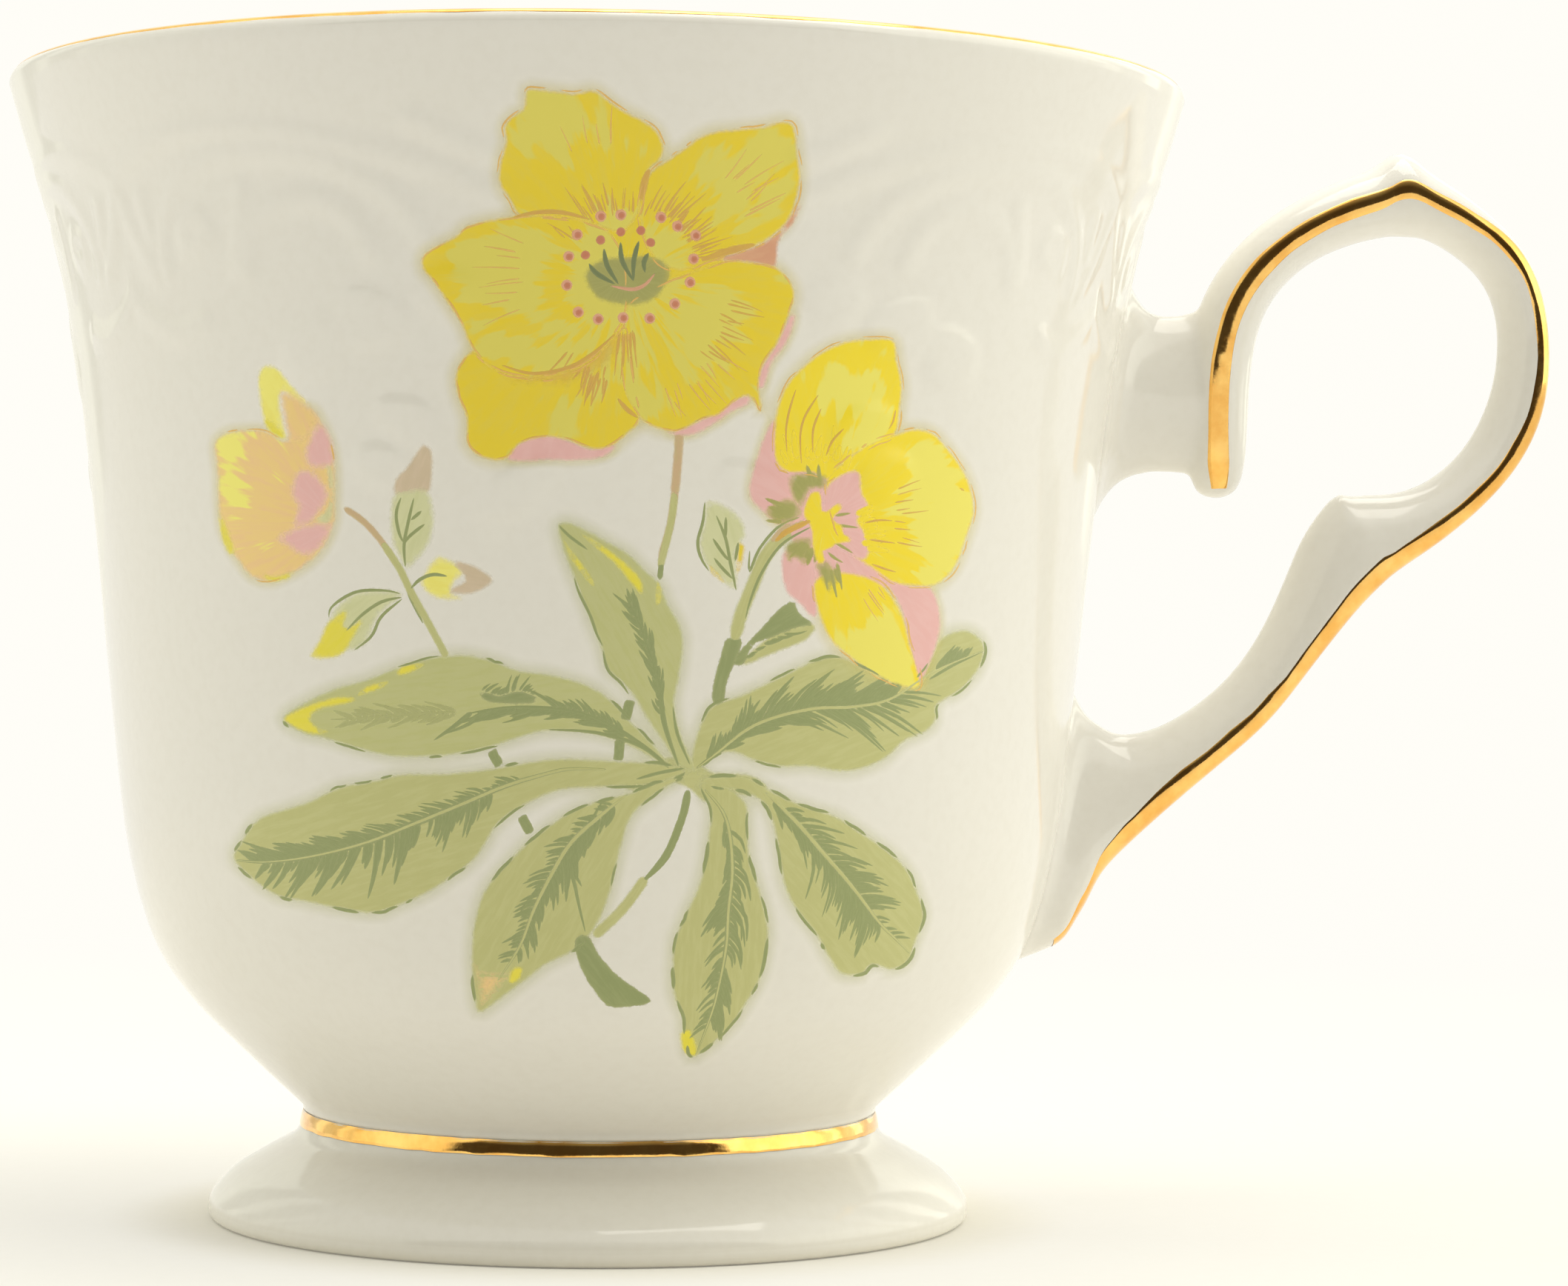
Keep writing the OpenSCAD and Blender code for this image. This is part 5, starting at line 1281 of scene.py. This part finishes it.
# ---- the side flower ----
heart = (14.0, 47.0)
p = Print("print_side_under", ["side_bloom_under_petals"], "enamel_pink")
for part in ("s_pink_low", "s_pink_left", "s_pink_top", "s_pink_right", "s_pink_lowleft"):
    if part in ("s_pink_low", "s_pink_left"):
        p.glow(A[part], "gold glow", PETAL - 0.03, 0.6)
    p.fill(A[part], "pink", PETAL + (0.016 if part == "s_pink_right" else -0.006), heart)
p.fill(oval(heart, 2.3, 2.6, 10), "pink", PETAL - 0.014, heart)
gap = [(14.0, 47.0), (16.4, 46.0), (18.4, 43.6), (17.6, 42.8), (15.6, 43.3), (13.6, 43.0), (13.2, 45.0)]
p.fill(gap, "pink", PETAL - 0.016, heart)
p = Print("print_side_petals", ["side_bloom_petals"], "enamel_yellow")
for part, light in (("s_up", "s_lemon_up"), ("s_right", "s_lemon_right"), ("s_low", "s_lemon_low")):
    p.glow(A[part], "gold glow", PETAL - 0.026)
    p.fill(A[part], "sun", PETAL, heart, zones=[A[light]], zone_soft=0.9)
    p.edging(A[part], "outline", VEIN, 0.12, share=0.5, seed=len(part) + 31, inset=0.1)
p.rays((heart[0], heart[1] - 1), (-12, 38), 2.5, 4.0, "sun", PETAL + 0.03, 0.4, 13, 36)
p.rays((heart[0] - 0.6, heart[1] - 1), (66, 116), 4.6, 6.4, "sun", PETAL + 0.02, 0.42, 11, 37)
for k in range(9):
    p.stroke(A["s_vein%d" % k], "brown", VEIN, 0.15, (0.3, 0.5))
p.rays(heart, (-15, 30), 4.6, 6.4, "brown", VEIN, 0.1, 9, 34, ("s_up", "s_right", "s_low"))
p.rays(heart, (-62, -40), 5.0, 7.0, "outline", VEIN, 0.1, 6, 35, ("s_up", "s_right", "s_low"))
p = Print("print_side_heart", ["side_bloom_heart"], "enamel_yellow")
for part in ("s_green_top", "s_green_left", "s_green_low", "s_green_lowright"):
    p.fill(A[part], "eye", ZONE, heart, soft=0.6)
p.rays(heart, (98, 140), 2.2, 3.5, "eye", ZONE, 0.42, 7, 61)
p.rays(heart, (160, 188), 2.6, 4.0, "eye", ZONE, 0.4, 4, 62)
p.rays(heart, (228, 262), 1.8, 3.2, "eye", ZONE, 0.4, 5, 63)
p.rays(heart, (272, 292), 2.8, 4.8, "eye", ZONE, 0.36, 4, 64)
for k in range(4):
    p.stroke(A["s_spike%d" % k], "eye", ZONE + 0.004, 0.22, (0.4, 0.6))
p.fill(A["s_heart"], "sun", ZONE + 0.012, heart, grow=0.12, soft=0.25)
p.stroke(A["s_stem_brown"], "brown", ZONE + 0.016, 0.4)

# ---- the main bloom ----
p = Print("print_main_under", ["main_bloom_under_petals"], "enamel_pink")
for part in ("under_low", "under_low_right", "under_edge"):
    p.glow(A[part], "gold glow", PETAL - 0.034, 0.6)
    p.fill(A[part], "pink", PETAL - 0.01, EYE, grow=0.15)
p.fill(A["under_right"], "rust", PETAL - 0.008, EYE)
p = Print("print_main_petals", ["main_bloom_petals"], "enamel_yellow")
p.fill(oval(EYE, 6.2, 6.2, 12), "yellow", PETAL - 0.016, EYE)
for i, (part, zones) in enumerate((("petal_low_left", ("lemon_low_left",)),
                                   ("petal_low_right", ("lemon_low_right", "lemon_low_edge", "lemon_ring")),
                                   ("petal_top", ("lemon_top", "lemon_ring")),
                                   ("petal_right", ("lemon_right", "lemon_right2", "lemon_ring")),
                                   ("petal_left", ("lemon_left", "lemon_left2", "lemon_ring")))):
    p.glow(A[part], "gold glow", PETAL - 0.03 + 0.001 * i)
    p.fill(A[part], "yellow", PETAL + 0.006 * i, EYE, zones=[A[z] for z in zones],
           zone_soft=0.75 if part == "petal_left" else 1.3)
    p.edging(A[part], "outline", VEIN, 0.12, share=0.6, seed=41 + i, inset=0.1)
p.fill(A["under_fold"], "yellow", PETAL - 0.014, EYE)
p.fill(A["shade_left"], "shade", PETAL + 0.013, EYE, soft=0.8)
p.rays(EYE, (-150, -98), 5.8, 7.6, "brown", PETAL + 0.03, 0.2, 26, 56, ("petal_low_left",))
for part, width in (("shade_top", 0.3), ("shade_top2", 0.5), ("shade_right", 0.5), ("shade_low", 0.3),
                    ("shade_low2", 0.26)):
    p.stroke(A[part], "brown", VEIN, width, (0.4, 0.4))
p.rays(EYE, (62, 100), 4.0, 5.6, "brown", VEIN, 0.1, 13, 46, PETALS)
p.rays(EYE, (100, 148), 4.0, 6.0, "brown", VEIN, 0.13, 24, 47, PETALS)
p.rays(EYE, (14, 62), 4.4, 6.8, "brown", VEIN, 0.12, 34, 48, PETALS)
p.rays(EYE, (-100, -78), 3.2, 5.8, "brown", VEIN, 0.14, 12, 49, PETALS)
p.rays(EYE, (-128, -100), 5.6, 7.8, "brown", VEIN, 0.16, 12, 50, PETALS)
p.rays(EYE, (-42, -8), 6.0, 8.2, "brown", VEIN, 0.11, 14, 51, PETALS)
p.rays(EYE, (-70, -35), 7.2, 9.4, "outline", VEIN, 0.1, 12, 52, PETALS)
p.rays(EYE, (150, 200), 6.4, 9.6, "outline", VEIN, 0.11, 12, 53, PETALS)
p.rays(EYE, (28, 48), 8.4, 11.6, "outline", VEIN, 0.11, 10, 54, PETALS)
p.rays(EYE, (66, 118), 8.0, 10.4, "outline", VEIN, 0.11, 10, 55, PETALS)
p = Print("print_main_eye", ["main_bloom_eye"], "enamel_sage")
p.fill(A["eye"], "eye", ZONE + 0.01, EYE, soft=0.5)
for k in range(5):
    p.stroke(A["pistil%d" % k], "deep", TOP, 0.3, (0.3, 0.5))
p.stroke(A["pistil5"], "rust", TOP, 0.24, (0.4, 0.4))
p = Print("print_main_anthers", ["main_bloom_anthers"], "enamel_pink")
for spot in A["anthers"]:
    p.dot(spot, 0.36, "blush", TOP)
    p.dot((spot[0] + 0.04, spot[1] - 0.03), 0.2, "dot", TOP + 0.015)
for spot in A["anthers_in"]:
    p.dot(spot, 0.27, "dot", TOP)

for made in Print.all_made:
    made.done()

# ---------------------------------------------------------------- floor, light and camera
# The backdrop's colour, which the floor also glows in as painted light.
BACKDROP = (1.0, 0.985, 0.93, 1)


def stage_material():
    """A pale floor that also glows in the backdrop's colour as painted light. The glow is weakest under the
    foot, so the floor is darkest there as painted shade, and it brightens into the backdrop away from the
    cup.
    """
    material, tree = fresh("studio_floor")
    at = node(tree, "TexCoord").outputs["Object"]
    far = node(tree, "VectorMath", {0: at}, operation="LENGTH").outputs["Value"]
    grain = noise(tree, at, 900, 3)
    paper = blend(tree, grain, linear(244, 241, 230) + [1], linear(248, 245, 236) + [1])
    flat = node(tree, "BsdfDiffuse", {"Color": paper, "Roughness": 0.6})
    # Painted light: the floor glows in the backdrop's colour. The glow is low up to the foot's edge, which
    # leaves painted shade round the cup, and is full far from it.
    glow = node(tree, "Emission", {"Color": BACKDROP, "Strength": 1.0})
    near = between(tree, far, 0.0255, 0.034, 0.1, 0.5)
    away = between(tree, far, 0.034, 0.26, 0, 0.5)
    painted_glow_share = math_of(tree, "ADD", near, away)
    mix = node(tree, "MixShader", {0: painted_glow_share, 1: flat.outputs[0], 2: glow.outputs[0]})
    finish_material(tree, mix)
    return material


FLOOR_SIDES = 96
FLOOR_RADII = (0.001, 20, 60, 120, 200, 400, 900, 2500)
FLOOR_H = -0.02
verts, faces = [], []
for r in FLOOR_RADII:
    turns = [2 * math.pi * j / FLOOR_SIDES for j in range(FLOOR_SIDES)]
    verts += [(r * math.cos(a), r * math.sin(a), FLOOR_H) for a in turns]
for k in range(len(FLOOR_RADII) - 1):
    here, there = k * FLOOR_SIDES, (k + 1) * FLOOR_SIDES
    for j in range(FLOOR_SIDES):
        n = (j + 1) % FLOOR_SIDES
        faces.append((here + j, there + j, there + n, here + n))
floor = build("studio_floor", verts, faces, [stage_material()])

world = bpy.data.worlds.new("studio")
bpy.context.scene.world = world
world.use_nodes = True
tree = world.node_tree
tree.nodes.clear()
ray = node(tree, "TexCoord").outputs["Generated"]
axes = node(tree, "SeparateXYZ", {0: ray})
x, y, z = axes.outputs
front = between(tree, y, -0.60, -0.50, 1, 0)
side_glow = between(tree, x, -0.3, 0.9, 0.0, 1.0)
soft = blend(tree, side_glow, (1.23, 1.23, 1.07, 1), (2.1, 2.08, 1.84, 1))
soft = blend(tree, between(tree, z, 0.4, 0.9), soft, (1.25, 1.23, 1.16, 1))
# Darker upright strips, mirrored left and right, between two angles from the front.
turned = math_of(tree, "ARCTAN2", math_of(tree, "ABSOLUTE", x), math_of(tree, "MULTIPLY", y, -1.0))
for low_a, high_a, depth in ((106, 112, 0.35), (118, 130, 0.55), (138, 149, 0.6)):
    rising = between(tree, turned, math.radians(low_a - 1.5), math.radians(low_a + 1.5), 0, depth)
    falling = between(tree, turned, math.radians(high_a - 2), math.radians(high_a + 2), 1, 0)
    strip = math_of(tree, "MULTIPLY", rising, falling)
    soft = blend(tree, strip, soft, (0.42, 0.41, 0.37, 1))
soft = blend(tree, between(tree, y, 0.8, 0.96), soft, (1.0, 0.98, 0.88, 1))
dim_front = blend(tree, between(tree, z, 0.35, 0.8), (0.06, 0.052, 0.04, 1), (0.36, 0.35, 0.31, 1))
lit = blend(tree, front, soft, dim_front)
seen = node(tree, "LightPath").outputs["Is Camera Ray"]
shown = blend(tree, seen, lit, BACKDROP)
sky = node(tree, "Background", {"Color": shown, "Strength": 1.0})
out = node(tree, "OutputWorld")
tree.links.new(sky.outputs[0], out.inputs["Surface"])


def softbox(name, spot, aim, size, power, shade):
    lamp = bpy.data.lights.new(name, "AREA")
    lamp.shape = "RECTANGLE"
    lamp.size, lamp.size_y = size
    lamp.energy = power
    lamp.color = shade
    made = bpy.data.objects.new(name, lamp)
    bpy.context.scene.collection.objects.link(made)
    made.location = spot
    made.rotation_mode = "QUATERNION"
    made.rotation_quaternion = (Vector(aim) - Vector(spot)).to_track_quat("-Z", "Y")
    return made


softbox("soft_top", (0.1, 0.05, 0.6), (0, 0, 0.04), (0.5, 0.4), 1.8, (1, 0.97, 0.9))

camera = bpy.data.objects.new("camera", bpy.data.cameras.new("camera"))
bpy.context.scene.collection.objects.link(camera)
camera.data.sensor_width = 36
camera.data.lens = 99.23
camera.data.clip_start, camera.data.clip_end = 0.01, 10
camera.matrix_world = (Matrix.Translation((0, -0.2969, 0.0405))
                       @ Matrix.Rotation(math.radians(-2.506), 4, "Z")
                       @ Matrix.Rotation(math.radians(90 - 0.23), 4, "X")
                       @ Matrix.Rotation(math.radians(0.592), 4, "Z"))
bpy.context.scene.camera = camera
bpy.context.scene.view_settings.view_transform = "Standard"
